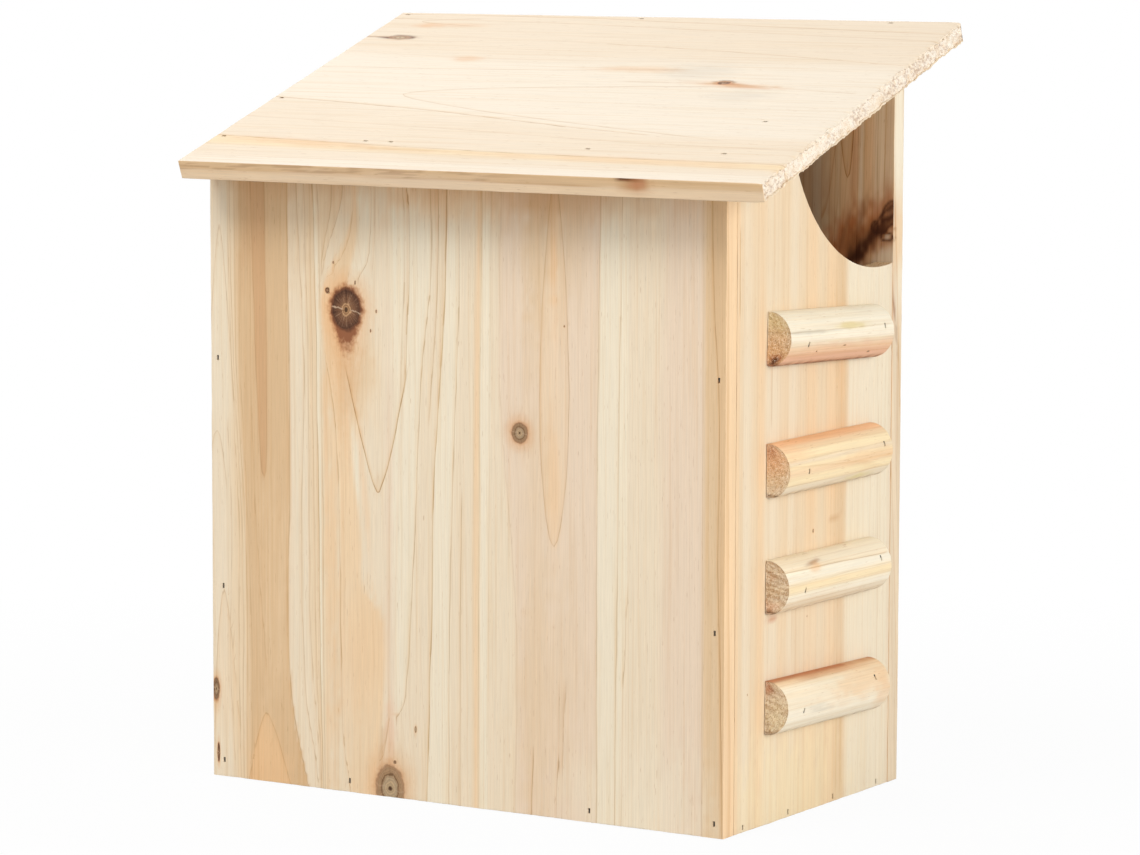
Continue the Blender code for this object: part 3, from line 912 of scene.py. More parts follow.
def make_board(board, wood, bands, knots=(), arches=(), stains=(), steps=(2.0, 2.6, 3.0), shape=None,
               rough=None, paint=None, material=WALL_FIR, seed=1, wear=0.45,
               painted_light=(1.0, 1.0, 1.0), closer=((), ())):
    """Build the visual board from its tables, put it in its node's place and hide the node."""
    size = board.size
    across = lines(size[0], steps[0], *closer_lines(board, wood, knots, 0), closer[0])
    deep = lines(size[1], steps[1])
    along = lines(size[2], steps[2], *closer_lines(board, wood, knots, 1), closer[1])
    a, d, g, faces = lattice_skin(across, deep, along)
    radius = wear * (0.45 + 0.9 * soft_random(seed, a / 9.0, d / 9.0, g / 9.0))
    points, outward = eased(a, d, g, size, radius)
    near, reach = nearest_knot(points[:, 0], points[:, 2], knots)
    press = WARP * soft_random(seed + 1, a / 38.0, g / 110.0)
    press = press + SAW_WAVE * soft_random(seed + 2, a / 6.0, d / 6.0, g / 22.0)
    press = press + knot_depth(near, reach, seed) * (np.abs(outward[:, 1]) > ON_FACE)
    press = press + np.where(outward[:, 1] < -ON_FACE, slot_depth(board, a, g), 0.0)
    end = facing(np.abs(outward), 2, 1.6, 0.6)
    press = press + end * TORN_END * soft_random(seed + 3, a / 1.1, d / 1.1)
    dirt = np.zeros(len(a))
    if rough is not None:
        torn, dirt = rough(points, outward, size)
        press = press + torn
    points = points - outward * press[:, None]
    a, d, g = points.T
    rings, strip = ring_numbers(a, d, g, wood, knots)
    drawn, tone = charted(a, g, bands)
    tone, arch = arched(tone, a, g, arches)
    tone = stained(tone, a, g, stains)
    # Painted shade: the inner face of every board of wall fir is darkened.
    if material is WALL_FIR:
        tone = mixed(tone, tone * INNER_PAINTED_SHADE, facing(outward, 1))
    # Painted light: each board's colour is scaled by how much light its face is meant to show, above 1
    # lighter and below 1 darker.
    tone = tone * np.array(painted_light)
    if paint is not None:
        tone = paint(tone, points, outward, size)
    values = {
        "grain": points + GRAIN_SHIFT * seed,
        "rings": rings,
        "tone": tone,
        "drawn": drawn,
        "arch": arch,
        "knot": near,
        "reach": reach,
        "marks": np.stack([wood["figure"][strip], end, dirt], axis=1),
    }
    if shape is not None:
        points = shape(points, size)
    piece = write_mesh(board.node + "_fir", board.place(*points.T), faces.tolist(), values, material)
    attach(piece, "root")
    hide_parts(board.node)
    print(piece.name, "points", len(points), "triangles", 2 * len(faces))


print("grain shift from board to board", GRAIN_SHIFT, "mm")

# %% [markdown]
# ## Wall tops
# The tops of all four walls are sawn to the roof's slope. A cutting tool could do it, but it
# would leave odd slivers; here the upper rows of each wall are drawn in until the last one lies
# on the roof line, so the rows stay whole. The line's height is read off the front panel.

# %% Wall tops
TOP_RISE = np.tan(PITCH_OF_ROOF)
PANEL_POINTS = node_points("front_panel")
TOP_HEIGHT = (PANEL_POINTS[:, 2] - PANEL_POINTS[:, 1] * TOP_RISE).max()


def roof_line(y):
    """Height of the wall tops, in millimetres, at a place y between front and back."""
    return TOP_HEIGHT + y * TOP_RISE


def wall_top(board, keep=200.0, notch=None):
    """Shape function of a wall: heights over 'keep' are drawn in so that its top meets the roof."""
    def shape(points, size):
        y = board.place(*points.T)[:, 1] / MM
        top = roof_line(y)
        if notch is not None:
            top = np.minimum(top, notch(y))
        over = np.maximum(points[:, 2] - keep, 0.0) / (size[2] - keep)
        height = np.where(over > 0, keep + over * (top - keep), points[:, 2])
        return np.column_stack([points[:, :2], height])
    return shape


print("roof line at the middle", round(float(roof_line(0.0)), 1), "mm")

# %% [markdown]
# ## The front panel
# The front is the face that is looked at most: strips from several trees. A brown strip at the
# left ends in a tongue, a dark knot sits above a run of curved lines that meet in a point, an
# amber lens stands right of the middle, and an orange strip closes the right edge. Random figure
# would never draw these, so the chart gives each of them its place.

# %% Front panel strips and lines
FRONT_WOOD = strips(
    (0, -60, 4, 2, 0, 2.2, 0.25),
    (18, -160, 5, 2, 0, 1.9, 0.35),
    (66.5, -90, 22, 2, 0, 2.4, 0.25),
    (118, -150, 40, 3, 0.8, 1.9, 0.35),
    (171.5, 420, 20, 2, 0, 1.8, 0.30),
    (228.5, 90, 30, 4, 0, 1.45, 0.42),
    (284, 180, 10, 2, 0, 2.4, 0.6),
)
FRONT_LINES = chart(
    ("cream", 0, 1, (0, 0)),
    ("sand", 0.3, 2, (14.5, 0), (11, 60), (12.5, 130), (10.5, 178)),
    ("sand", 0.35, 2.5, (17.5, 0), (16.5, 60), (17, 130), (13.5, 200), (11, 260), (10, 290)),
    ("sand", 0.35, 1.5, (19, 0), (18.5, 130), (14.5, 200), (12.5, 260), (12, 314)),
    ("tan", 0.3, 1.5, (21, 0), (20.5, 130), (16, 200), (14.5, 314)),
    ("honey", 0.25, 1.6, (23.5, 0), (24, 60), (22, 130), (18, 200), (18, 314)),
    ("honey", 0.3, 2.5, (33, 60), (27, 130), (24.5, 200), (24.5, 314)),
    ("cream", 0.55, 0.6, (59, 0), (53.5, 21), (49.5, 40), (47, 73), (48, 144), (48, 200), (47, 314)),
    ("cream", 0.45, 1, (65.5, 0), (62.5, 19), (58, 41), (56, 74), (55.5, 144), (57, 200), (52, 314)),
    ("sand", 0.35, 1, (66, 0), (64.5, 30), (60.5, 74), (60, 130), (59.5, 200), (57, 314)),
    ("sand", 0.3, 0.8, (66.5, 0), (63.5, 74), (62.5, 144), (62, 200), (60.5, 314)),
    ("pale", 0.65, 0.6, (67.5, 0), (66, 75), (65.5, 144), (64.5, 200), (63.5, 260), (61.5, 314)),
    ("sand", 0.45, 2.5, (68.5, 0), (68, 130), (67.2, 200), (66.5, 260), (64.5, 314)),
    ("sand", 0.45, 2, (70.5, 0, 0), (69.5, 200, 0), (67.5, 262), (70, 278), (73, 290), (73.5, 314)),
    ("cream", 0.45, 1.5, (72, 0, 0), (70.5, 200, 0), (68, 258), (71, 273), (75.5, 284),
     (79.5, 296), (80, 314)),
    ("peach", 0.6, 1.5, (84.5, 0), (81, 21), (78.8, 66), (78.4, 120), (77.6, 150), (76.8, 168),
     (75.4, 185), (73, 201), (69.5, 217), (70.8, 259, 0), (81, 276, 0), (84.5, 287, 0), (85, 314, 0)),
    ("peach", 0.45, 1.5, (87, 0, 0), (83, 21, 0), (81, 66, 0), (80.6, 120, 0), (79.8, 150, 0),
     (77.6, 185, 0), (75.2, 201, 0), (71.7, 217, 0), (71, 259), (77.5, 266), (83, 276),
     (85.5, 287), (86, 314)),
    ("pale", 0, 2.6, (98.5, 0), (104, 53), (105.5, 73), (103.5, 90), (93, 101), (91, 123),
     (89, 142), (86.8, 157), (83.5, 190), (80, 214), (79, 240), (88, 276), (88, 314)),
    ("cream", 0.6, 1.5, (89.5, 258), (95, 266), (96.5, 277), (97.5, 291), (97, 314)),
    ("cream", 0.3, 1, (97.5, 262), (99, 277), (99.5, 291), (99, 314)),
    ("pale", 0.45, 2, (99.5, 16), (102.5, 19), (105.5, 31), (108.5, 43)),
    ("cream", 0.35, 1.5, (109, 41, 0), (112, 150, 0), (114.7, 203), (115.3, 222), (116.5, 250),
     (117, 278), (115.5, 314)),
    ("pale", 0.8, 1.5, (110, 41, 0), (113, 150, 0), (116.6, 206), (117.5, 222), (118.5, 250),
     (119, 278), (117.5, 314)),
    ("cream", 0.6, 1, (111.5, 40.5), (114.4, 44.5), (117.8, 62), (119.6, 82), (121.1, 107),
     (122.6, 132), (123.7, 156), (125.3, 187), (127.1, 218), (132.5, 262), (132, 314)),
    ("cream", 0.5, 1, (124, 0, 0), (128, 130, 0), (131, 190), (134.5, 230), (136, 260), (136, 314)),
    ("pale", 1, 1.5, (129.2, 0), (131, 58), (132.3, 96), (132.8, 126), (133.4, 157), (135.6, 188),
     (138, 219), (140.5, 260), (141, 314)),
    ("cream", 0.55, 1, (142.4, 0), (142.7, 60), (143.8, 127), (146, 188), (147.7, 219), (149, 314)),
    ("cream", 0.5, 1, (149, 0), (149.5, 130), (150, 150)),
    ("peach", 0.1, 2, (156.5, 0), (157, 200), (159, 314)),
    ("pale", 0.3, 2, (159.5, 0), (160, 200), (161.5, 314)),
    ("cream", 0.15, 1.5, (165, 60), (166, 200), (166.5, 314)),
    ("rose", 0.2, 4, (181, 0), (181, 100), (177.5, 143), (173.5, 177), (172, 314)),
    ("rose", 0.6, 1, (190, 0), (191, 30)),
    ("rose", 0.6, 1, (205, 0), (206.5, 63)),
    ("rose", 0.5, 1, (206.5, 0), (209, 63)),
    ("pale", 0.4, 1.2, (227, 0), (227, 200), (228.5, 314)),
    ("pale", 0.5, 1, (237.5, 0), (239, 200), (241, 314)),
    ("cream", 0.5, 1, (240, 0), (241, 60), (243.5, 112)),
    ("rose", 0, 9, (262, 0), (264, 314)),
    ("tan", 0.3, 1.5, (285.5, 0), (285, 200), (284, 314)),
    ("honey", 0.65, 0.8, (296, 0), (295.5, 30), (294, 95), (293, 130), (293.5, 200), (290, 260),
     (288.5, 314)),
)
print("front lines", len(FRONT_LINES["paths"]))

# %% Front panel arches, knots, stains and painted shading
FRONT_ARCHES = (
    (5.6, 282.3, -90, 8.5, 0.75, 0, 0, 0.35, 0.35, "pale"),
    (3.4, 176.4, -26, 5.5, 0.5, 0, 0, 0.35, 0, "pale"),
    (7, 96, -67, 7.5, 0.6, 0, 1.5, 0.4, 0.25, "peach"),
    (32.2, 152.6, 150, 4.8, 0.38, 0.12, -3.4, 0.35, 0.85, "brown"),
    (33, 35.4, -38, 13.5, 0.72, 0, 2, 0.35, 0.6, "apricot"),
    (202.5, 131.6, 165, 22, 0.62, 0.86, 0, 0.45, 0.45, "peach"),
    (101, 150.6, 54, 16.5, 0.76, 0, -1, 0.9, 0.5, "cream"),
)
FRONT_KNOTS = (
    (82.2, 241.5, 9.6, 11.8, 1, 0.75),
    (183, 185.8, 5, 5.4, 0.45),
    (107.6, 4.6, 9, 12.4, 0.3),
    (2, 44.5, 2.2, 6, 0.6, 0.2),
    (3.2, 12, 0.8, 5, 0.9),
    (70.9, 250.8, 1.2, 1.4, 0.9),
    (74.5, 265, 0.4, 0.7, 0.8),
    (87.5, 255.5, 0.4, 0.9, 0.7),
    (99.9, 241.5, 0.4, 0.9, 0.8),
    (96.6, 231.5, 0.4, 0.8, 0.8),
    (122.8, 35.5, 0.7, 1.8, 0.2),
    (110.5, 18, 0.7, 0.8, 0.7),
    (208, 239.6, 0.4, 0.5, 0.6),
)
FRONT_STAINS_AND_SHADING = (
    ("brown", 0.5, 21.5, 290, 4, 40),
    ("peach", 0.4, 38, 100, 9, 60),
    ("apricot", 0.5, 33, 12, 12, 16),
    ("apricot", 0.45, 76, 212, 6, 26),
    ("peach", 0.5, 92, 205, 10, 20, 0.15),
    ("tan", 0.3, 84, 276, 12, 20, 0.15),
    ("apricot", 0.4, 92.3, 156, 2.2, 32, -0.11),
    ("tan", 0.7, 89, 211, 8.5, 18),
    ("tan", 0.5, 77, 204, 8, 22),
    ("sand", 0.6, 89.5, 40, 10, 64),
    ("cream", 0.5, 82.5, 50, 3, 50),
    ("tan", 0.6, 75.4, 62, 2.8, 50),
    # Painted shade: a wide warm band under the roof overhang.
    ("apricot", 0.35, 148, 318, 150, 26),
    ("tan", 0.45, 107.7, 90, 1.1, 56),
    ("rose", 0.5, 107.3, 175, 2.8, 60),
    ("tan", 0.6, 110.2, 41.6, 2.2, 1),
    ("apricot", 0.45, 70, 176, 2, 40),
    ("peach", 0.8, 73.5, 140, 3.5, 80, 0.02),
    ("honey", 0.5, 100.8, 156.5, 2, 6),
    ("tan", 0.45, 54, 286, 9, 36),
    ("apricot", 0.35, 90, 70, 13, 30, 0.1),
    ("apricot", 0.25, 73, 90, 4, 90),
    ("rose", 0.6, 107.5, 92, 3.2, 66),
    ("brown", 0.55, 102.4, 20, 2, 16, 0.12),
    ("blush", 0.45, 108, 30, 3.2, 18),
    ("honey", 0.45, 107.3, 10, 14, 17),
    ("apricot", 0.8, 202, 272, 2.8, 30, -0.02),
    ("apricot", 0.5, 202.5, 160, 3.5, 30),
    ("tan", 0.35, 201, 60, 22, 60),
    ("brown", 0.3, 183, 186, 9, 10),
    ("tan", 0.35, 192, 120, 8, 150),
    ("tan", 0.7, 193, 280, 8, 40),
    ("tan", 0.7, 213, 290, 8, 40),
    ("brown", 0.35, 194, 304, 6, 14),
    ("honey", 0.5, 289, 250, 3.5, 80),
    # Painted light: a pale oval at the bottom right, near the floor.
    ("pale", 0.6, 250, 8, 40, 34),
    ("rose", 0.6, 214, 220, 8, 60),
    ("rose", 0.4, 262, 205, 5, 40),
    # Painted shade: warm bands along the top, under the roof overhang.
    ("brown", 0.35, 10, 314, 26, 12),
    ("brown", 0.4, 80, 312, 70, 12),
    ("apricot", 0.45, 148, 306, 40, 20),
    ("brown", 0.5, 200, 306, 60, 12),
)
print("front arches", len(FRONT_ARCHES), "knots", len(FRONT_KNOTS), "stains", len(FRONT_STAINS_AND_SHADING))

# %% Front panel
EDGE_TONE = linear(TONES["peach"]) * 1.06


def front_paint(tone, points, outward, size):
    """The sawn edge towards the way in is lighter than the strip beside it, with fine layers."""
    _, d, g = points.T
    layers = 0.96 + 0.09 * soft_random(83, d / 0.9, g / 60.0)[:, None]
    return mixed(tone, EDGE_TONE * layers, facing(outward, 0, 2.0, 0.6))


make_board(front, FRONT_WOOD, FRONT_LINES, FRONT_KNOTS, FRONT_ARCHES, FRONT_STAINS_AND_SHADING, seed=3,
           shape=wall_top(front), paint=front_paint, steps=(1.55, 3.2, 5.4), painted_light=(1.05, 1.085, 1.125))

# %% [markdown]
# ## The back panel
# The back is the tallest board, with its top sawn to the roof's slope. Through the way in its
# inner face shows a dark streak of resin that runs down from the entrance edge, with the rims of
# small knots in it. Resin follows no ring, so it is a list of soft ovals and rims over the rest.
# The outer face has the few knots that such a board has.

# %% Back panel tables
BACK_WOOD = strips(
    (0, 44, 30, -8, 0, 2.6, 1),
    (41, -120, 20, 2, 0.4, 3.3, 0.9),
    (96, 122, 40, -17, 0, 6, 0.85),
    (152, -40, 20, 3, 0, 4.4, 0.8),
    (203, 230, 8, 12, -5, 5, 0.9),
    (255, 120, 10, 2, 0, 3.4, 0.8),
)
BACK_LINES = chart(
    ("cream", 0, 1, (0, 0)),
    ("pale", 0.2, 3, (5.5, 0), (5.5, 372)),
    ("cream", 0.45, 3, (9, 0), (9.5, 372)),
    ("peach", 0.2, 3, (13, 0), (12, 372)),
    ("pale", 0.5, 2.5, (16.5, 0), (17, 372)),
    ("peach", 0.7, 1.5, (22, 0), (20.5, 290), (19.5, 372)),
    ("sand", 0.3, 4, (30, 0), (30.5, 372)),
    ("peach", 0.45, 3, (34, 0), (33, 372)),
    ("sand", 0.35, 3, (37.5, 0), (36, 372)),
    ("pale", 0.3, 2.5, (41, 0)),
    ("sand", 0.3, 2, (47, 0), (46, 372)),
    ("cream", 0.5, 1, (58, 0), (59, 372)),
    ("sand", 0.3, 0.3, (96, 0)),
    ("pale", 0.3, 0.3, (152, 0)),
    ("sand", 0.6, 1, (171, 0), (174, 180), (173, 372)),
    ("peach", 0.3, 0.3, (203, 0)),
    ("pale", 0.3, 0.3, (255, 0)),
    ("tan", 0.5, 3, (281, 0), (278, 180), (280, 372)),
)
BACK_ARCHES = (
    (26, 304, 40, 5, 0.6, 0, 1.5, 1, 0.25, "honey"),
    (122, 40, 70, 20, 0.7, 0, 4, 0.7, 0.4, "peach"),
)
BACK_KNOTS = (
    (131, 96, 7, 9, 0.9, 0.5),
    (238, 262, 5, 6.4, 0.3),
    (74, 318, 3.6, 4.4, 0.2),
    (181, 190, 2.4, 3, 0.8, 0.3),
)
BACK_STAINS = (
    ("peach", 0.6, 124, 150, 12, 60),
    ("apricot", 0.6, 232, 120, 9, 70),
)
RESIN = (
    ("rust", 0.35, 22, 316, 2.2, 30, -0.05),
    ("umber", 0.30, 50, 300, 14, 60),
    ("amber", 0.85, 10, 283, 15, 20, -0.6),
    ("amber", 0.85, 27, 268, 15, 18, -0.4),
    ("umber", 0.8, 17, 274, 12, 11, -1),
    ("pitch", 0.9, 15.5, 273, 5, 9, -0.9),
    ("pitch", 0.95, 23, 264.5, 6.6, 6, -1),
    ("pitch", 0.7, 6, 282, 2.6, 7, -0.6),
    ("umber", 0.7, 19, 282, 2.2, 14, -0.3),
    ("umber", 0.6, 28, 276, 1.4, 11, -0.3),
    ("pitch", 0.8, 5, 284.5, 4.2, 6, -0.6, 1),
    ("pitch", 0.8, 3, 289, 3.4, 4.4, -0.5, 1),
    ("pitch", 0.85, 10.5, 281, 1.8, 2.4, 0, 1),
    ("pitch", 0.85, 4.2, 276, 3, 1.8, -0.3, 1),
    ("pale", 0.5, 3.6, 276, 1.4, 0.9, -0.3),
    ("cream", 0.85, 4.5, 264.5, 7, 5.5, -0.5),
)
# Painted light that lifts the inner face of the back, seen through the way in.
INSIDE_PAINTED_LIGHT = np.array((1.08, 0.98, 0.90))
EDGE_STAINS = (
    ("white", 0.9, 6, 335, 12, 60),
    ("peach", 0.8, 6, 276, 7, 20),
    ("rust", 0.35, 8.6, 288, 1.6, 9),
    ("umber", 0.5, 9, 277, 1.4, 3, 0, 1),
    ("white", 0.6, 3, 250, 3.4, 12),
    ("blush", 0.4, 11, 236, 2.4, 30),
    ("umber", 0.6, 8.2, 238, 0.8, 22, 0.19),
    ("honey", 0.5, 3.6, 190, 0.8, 34),
)
print("back lines", len(BACK_LINES["paths"]), "spots of resin", len(RESIN))


# %% Back panel
def back_paint(tone, points, outward, size):
    """Painted light on the inner face near the way in and painted shade deeper inside, with resin
    over it, and its pink traces on the edge next to it.
    """
    a, d, g = points.T
    # Painted light near the way in that turns into painted shade deeper inside.
    shade = INSIDE_PAINTED_LIGHT * (1.12 - 0.40 * soft_step((a - 32.0) / 40.0)[:, None])
    tone = mixed(tone, stained(tone * shade, a, g, RESIN), facing(outward, 1, 2.0, 0.6))
    return mixed(tone, stained(tone, d, g, EDGE_STAINS), facing(-outward, 0, 2.0, 0.6))


by_the_way_in = np.linspace(1.5, 48.0, 52)
resin_rows = np.linspace(252.0, 300.0, 42)
make_board(back, BACK_WOOD, BACK_LINES, BACK_KNOTS, BACK_ARCHES, BACK_STAINS, seed=5,
           shape=wall_top(back), paint=back_paint, steps=(2.4, 2.0, 4.6),
           closer=(by_the_way_in, resin_rows))

# %% [markdown]
# ## The sides and the way in
# Both sides stand between front and back. The right one has the way in: an arc sawn from its
# sloping top down to the rear edge. The same lattice makes it, because the arc is a height that
# depends only on the place across the board; closer lines lie where it falls steeply. A bow saw
# leaves fine ripples on such a cut.

# %% Right side tables
RIGHT_WOOD = strips(
    (0, -90, 30, 2, 0, 1.3, 0.22),
    (34, -200, 10, 1, 0, 1.1, 0.22),
    (68, -200, 10, 1, 0, 1, 0.25),
    (108.6, 260, 40, -3, 0, 1.2, 0.25),
)
RIGHT_LINES = chart(
    ("peach", 0, 1, (0, 0)),
    ("sand", 0.9, 1.5, (2.5, 256), (2.5, 297)),
    ("cream", 0.15, 4, (6, 0)),
    ("sand", 0, 6, (14, 0)),
    ("peach", 0.15, 5, (20, 0)),
    ("cream", 0, 6, (27, 0)),
    ("cream", 0.6, 1, (33.5, 195), (33.5, 236)),
    ("sand", 0.12, 6, (41, 0), (42, 314)),
    ("cream", 0, 6, (50, 0)),
    ("sand", 0.15, 6, (58, 0), (60, 314)),
    ("peach", 0.12, 6, (67, 0), (68, 314)),
    ("sand", 0, 7, (78, 0)),
    ("peach", 0.15, 6, (88, 0)),
    ("tan", 0.10, 6, (99, 0), (97, 300)),
    ("pale", 0, 6.5, (110, 0), (107.5, 120), (109.5, 200), (108, 300)),
    ("pale", 0.1, 5, (121, 0)),
    ("pale", 0.25, 2, (143, 0), (142, 190)),
    ("cream", 0.1, 2, (152.5, 0)),
)
RIGHT_KNOTS = (
    (75.5, 137, 0.7, 0.9, 0.5),
    (12, 66, 0.3, 0.5, 0.5),
    (70, 96, 0.3, 0.5, 0.4),
)
RIGHT_STAINS_AND_SHADE = (
    ("butter", 0.6, 55, 10, 52, 34),
    # Painted shade: a darker oval at the top, under the roof overhang.
    ("sand", 0.6, 28, 285, 26, 40),
    ("cream", 0.5, 75, 90, 30, 40),
    ("apricot", 0.45, 103, 225, 4.5, 50),
    ("tan", 0.5, 101, 150, 6, 40),
    ("apricot", 0.3, 98, 165, 8, 14),
    ("tan", 0.35, 58, 120, 4, 60),
    ("peach", 0.4, 43, 82, 3, 30),
    ("umber", 0.7, 103, 142.8, 3.4, 0.5),
    ("brown", 0.6, 96.5, 141, 5, 0.4),
    ("umber", 0.4, 114, 144.2, 2.4, 0.4),
    ("rust", 0.65, 34.5, 99.6, 4.4, 1.8),
)
print("right lines", len(RIGHT_LINES["paths"]), "knots", len(RIGHT_KNOTS))

# %% Right side and way in
NOTCH_MIDDLE = (63.0, 354.48)
NOTCH_RADIUS = 93.5
SAW_RIPPLE = 0.28
# The sawn wood's colour, warmed by painted bounce light from inside the box.
SAWN_AND_BOUNCE_TONE = linear((240, 205, 158))


def way_in(y):
    """Height of the arc at a place y: its middle's height less the circle's half chord."""
    across = np.clip(y - NOTCH_MIDDLE[0], -NOTCH_RADIUS, NOTCH_RADIUS)
    return NOTCH_MIDDLE[1] - np.sqrt(NOTCH_RADIUS**2 - across**2)


def right_paint(tone, points, outward, size):
    """The sawn top and way in are one warm tone: the sawn wood's colour with painted warm light
    that stands in for light bounced inside the box.
    """
    return mixed(tone, SAWN_AND_BOUNCE_TONE, facing(outward, 2, 2.0, 0.6))


def bow_saw(points, outward, size):
    """Uneven sine ripples across the sawn top, and no dirt."""
    ripple = 0.5 + 0.5 * np.sin(points[:, 0] * 2.3 + 2.0 * soft_random(9, points[:, 0] / 7.0))
    return facing(outward, 2) * SAW_RIPPLE * ripple, np.zeros(len(points))


steep = np.concatenate([np.linspace(46.5, 52.0, 18), np.linspace(52.0, 64.0, 16)])
make_board(right, RIGHT_WOOD, RIGHT_LINES, RIGHT_KNOTS, (), RIGHT_STAINS_AND_SHADE, seed=7,
           rough=bow_saw, shape=wall_top(right, notch=way_in), paint=right_paint,
           painted_light=(1.03, 1.05, 1.07), steps=(1.7, 1.4, 2.6), closer=(steep, ()))

# %% Left side
LEFT_WOOD = strips(
    (0, 24, 40, -15, 0, 5.2, 0.7),
    (47, -120, 20, 2, 0.5, 3, 0.6),
    (92, -30, 16, 2, 0, 4.6, 0.6),
    (131, 60, 10, 2, 0, 2.8, 0.8),
)
LEFT_LINES = chart(
    ("cream", 0, 1, (0, 0)),
    ("peach", 0.5, 3, (12, 0), (11, 180), (14, 372)),
    ("pale", 0.4, 0.3, (47, 0)),
    ("cream", 0.7, 1, (58, 0), (61, 180), (60, 372)),
    ("sand", 0.3, 3, (79, 0), (81, 180), (80, 372)),
    ("cream", 0.3, 0.3, (92, 0)),
    ("sand", 0.6, 2, (119, 0), (121, 180), (118, 372)),
    ("tan", 0.3, 0.3, (131, 0)),
    ("peach", 0.6, 1, (144, 0), (145, 180), (143, 372)),
)
LEFT_ARCHES = (
    (26, 60, -60, 9, 0.6, 0, 0, 0.6, 0.4, "apricot"),
    (108, 190, -90, 13, 0.65, 0, 2, 0.7, 0.45, "peach"),
)
LEFT_KNOTS = (
    (26, 104, 6, 8.2, 0.3),
    (108, 248, 7.4, 9.4, 1, 0.6),
    (70, 40, 2.2, 3, 0.8),
    (96, 262, 0.8, 1.2, 1),
)
LEFT_STAINS = (
    ("apricot", 0.5, 24, 170, 9, 60),
    ("apricot", 0.5, 110, 205, 9, 40),
)
make_board(left, LEFT_WOOD, LEFT_LINES, LEFT_KNOTS, LEFT_ARCHES, LEFT_STAINS, seed=11,
           shape=wall_top(left))

# %% [markdown]
# ## The floor board
# The floor lies between the four walls with its grain running from side to side. It could stay
# a plain box, as only its brads show from outside, but it can be seen through the way in and from
# below, so it is made like the others.

# %% Floor board
BASE_WOOD = strips(
    (0, 30, 40, -12, 0, 5.4, 0.8),
    (61, -120, 20, 2, 0, 3.6, 0.7),
    (112, 60, 30, 3, 0, 4.4, 0.7),
)
BASE_LINES = chart(
    ("cream", 0, 1, (0, 0)),
    ("cream", 0.6, 2, (18, 0), (21, 140), (19, 280)),
    ("pale", 0.3, 0.3, (61, 0)),
    ("cream", 0.6, 1, (83, 0), (80, 140), (84, 280)),
    ("sand", 0.3, 0.3, (112, 0)),
)
BASE_KNOTS = (
    (38, 90, 5, 7, 0.9, 0.4),
    (131, 214, 3.4, 4.6, 0.2),
)
make_board(base, BASE_WOOD, BASE_LINES, BASE_KNOTS, seed=13, steps=(2.6, 2.6, 3.4))

# %% [markdown]
# ## The roof board
# The roof is the palest board, planed on its faces. Its right end is a rough cut that was
# never trimmed: the saw has pulled the fibres out into a crumbly surface and broken small chips
# out of the edges. A bumpy texture would leave the outline straight there, so the pits and the
# chips are moved points, on lines that lie closer near the cut.

# %% Roof board tables
ROOF_WOOD = strips(
    (0, 18, 26, -5, 0.7, 4.2, 0.16),
    (66, -100, 10, 2, 0, 3.1, 0.12),
    (128, 152, -26, 12, 0, 5.6, 0.12),
    (187, 60, 10, 1, 0, 2, 0.25),
)
ROOF_LINES = chart(
    ("ivory", 0, 1, (0, 0)),
    ("ivory", 0.45, 2, (2.5, 0), (4, 120), (8, 180), (17.5, 330)),
    ("ivory", 0.3, 3, (9, 0), (12.5, 120), (17, 180), (27, 330)),
    ("ivory", 0.7, 2, (36, 0), (36.5, 34)),
    ("ivory", 0.45, 3, (36, 110), (42.5, 180), (49, 240), (61, 330)),
    ("white", 0.15, 24, (58, 0), (64, 120), (62, 200)),
    ("white", 0.4, 3, (80.5, 0), (78, 120), (72.5, 215)),
    ("white", 0.35, 3, (90, 190), (90, 240), (98, 318)),
    ("ivory", 0.75, 10, (123.5, 0), (130, 60), (138.5, 120), (149.5, 180), (158, 236)),
    ("ivory", 0.25, 3, (150, 0), (158, 120), (168, 240), (171, 330)),
    ("butter", 0.6, 1.5, (176, 0), (183.5, 120), (187.5, 240), (188.5, 330)),
    ("ivory", 0.15, 7, (187, 0), (190, 120), (195, 330)),
    ("white", 0.15, 8, (202, 0)),
)
ROOF_ARCHES = (
    (115, 72.8, 180, 32, 0.62, 0, 10, 0.45, 0.3, "white"),
    (12.6, 20, 30, 5, 0.5, 0, 0, 0.45, 0, "pale"),
)
ROOF_KNOTS = (
    (36.8, 21.5, 2.4, 5.8, 0.3),
    (88.4, 243.5, 2, 3.6, 0.8),
)
ROOF_STAINS = (
    ("umber", 0.8, 36.8, 14.8, 1, 4),
    ("umber", 0.8, 36.8, 28, 1, 3.4),
    ("pitch", 0.7, 36.8, 21.5, 2.9, 7.2, 0, 1),
    ("umber", 0.6, 36.3, 6, 0.6, 9),
    ("umber", 0.75, 90.2, 251, 1.2, 7, 0.08),
    ("pitch", 0.6, 88.4, 243.5, 2.4, 4.4, 0, 1),
    ("apricot", 0.6, 19, 27.5, 3.5, 8),
    ("apricot", 0.3, 17, 45, 3, 18),
    ("apricot", 0.5, 65, 80, 4, 8),
    ("peach", 0.6, 73, 185, 4, 26),
    ("rust", 0.75, 92, 254, 2.2, 13, 0.1),
    ("apricot", 0.6, 91.5, 250, 3.6, 26, 0.1),
    ("apricot", 0.45, 181.5, 60, 4, 50, 0.06),
    ("brown", 0.25, 186, 112, 3, 30, 0.05),
    ("peach", 0.5, 189.5, 240, 3.5, 80, 0.02),
    ("grey", 0.25, 74, 222, 12, 16),
    ("grey", 0.2, 104, 262, 10, 14),
    ("white", 0.5, 120, 130, 26, 90),
)
FASCIA_UPPER, FASCIA_LOWER = linear((224, 190, 148)), linear((238, 210, 175))
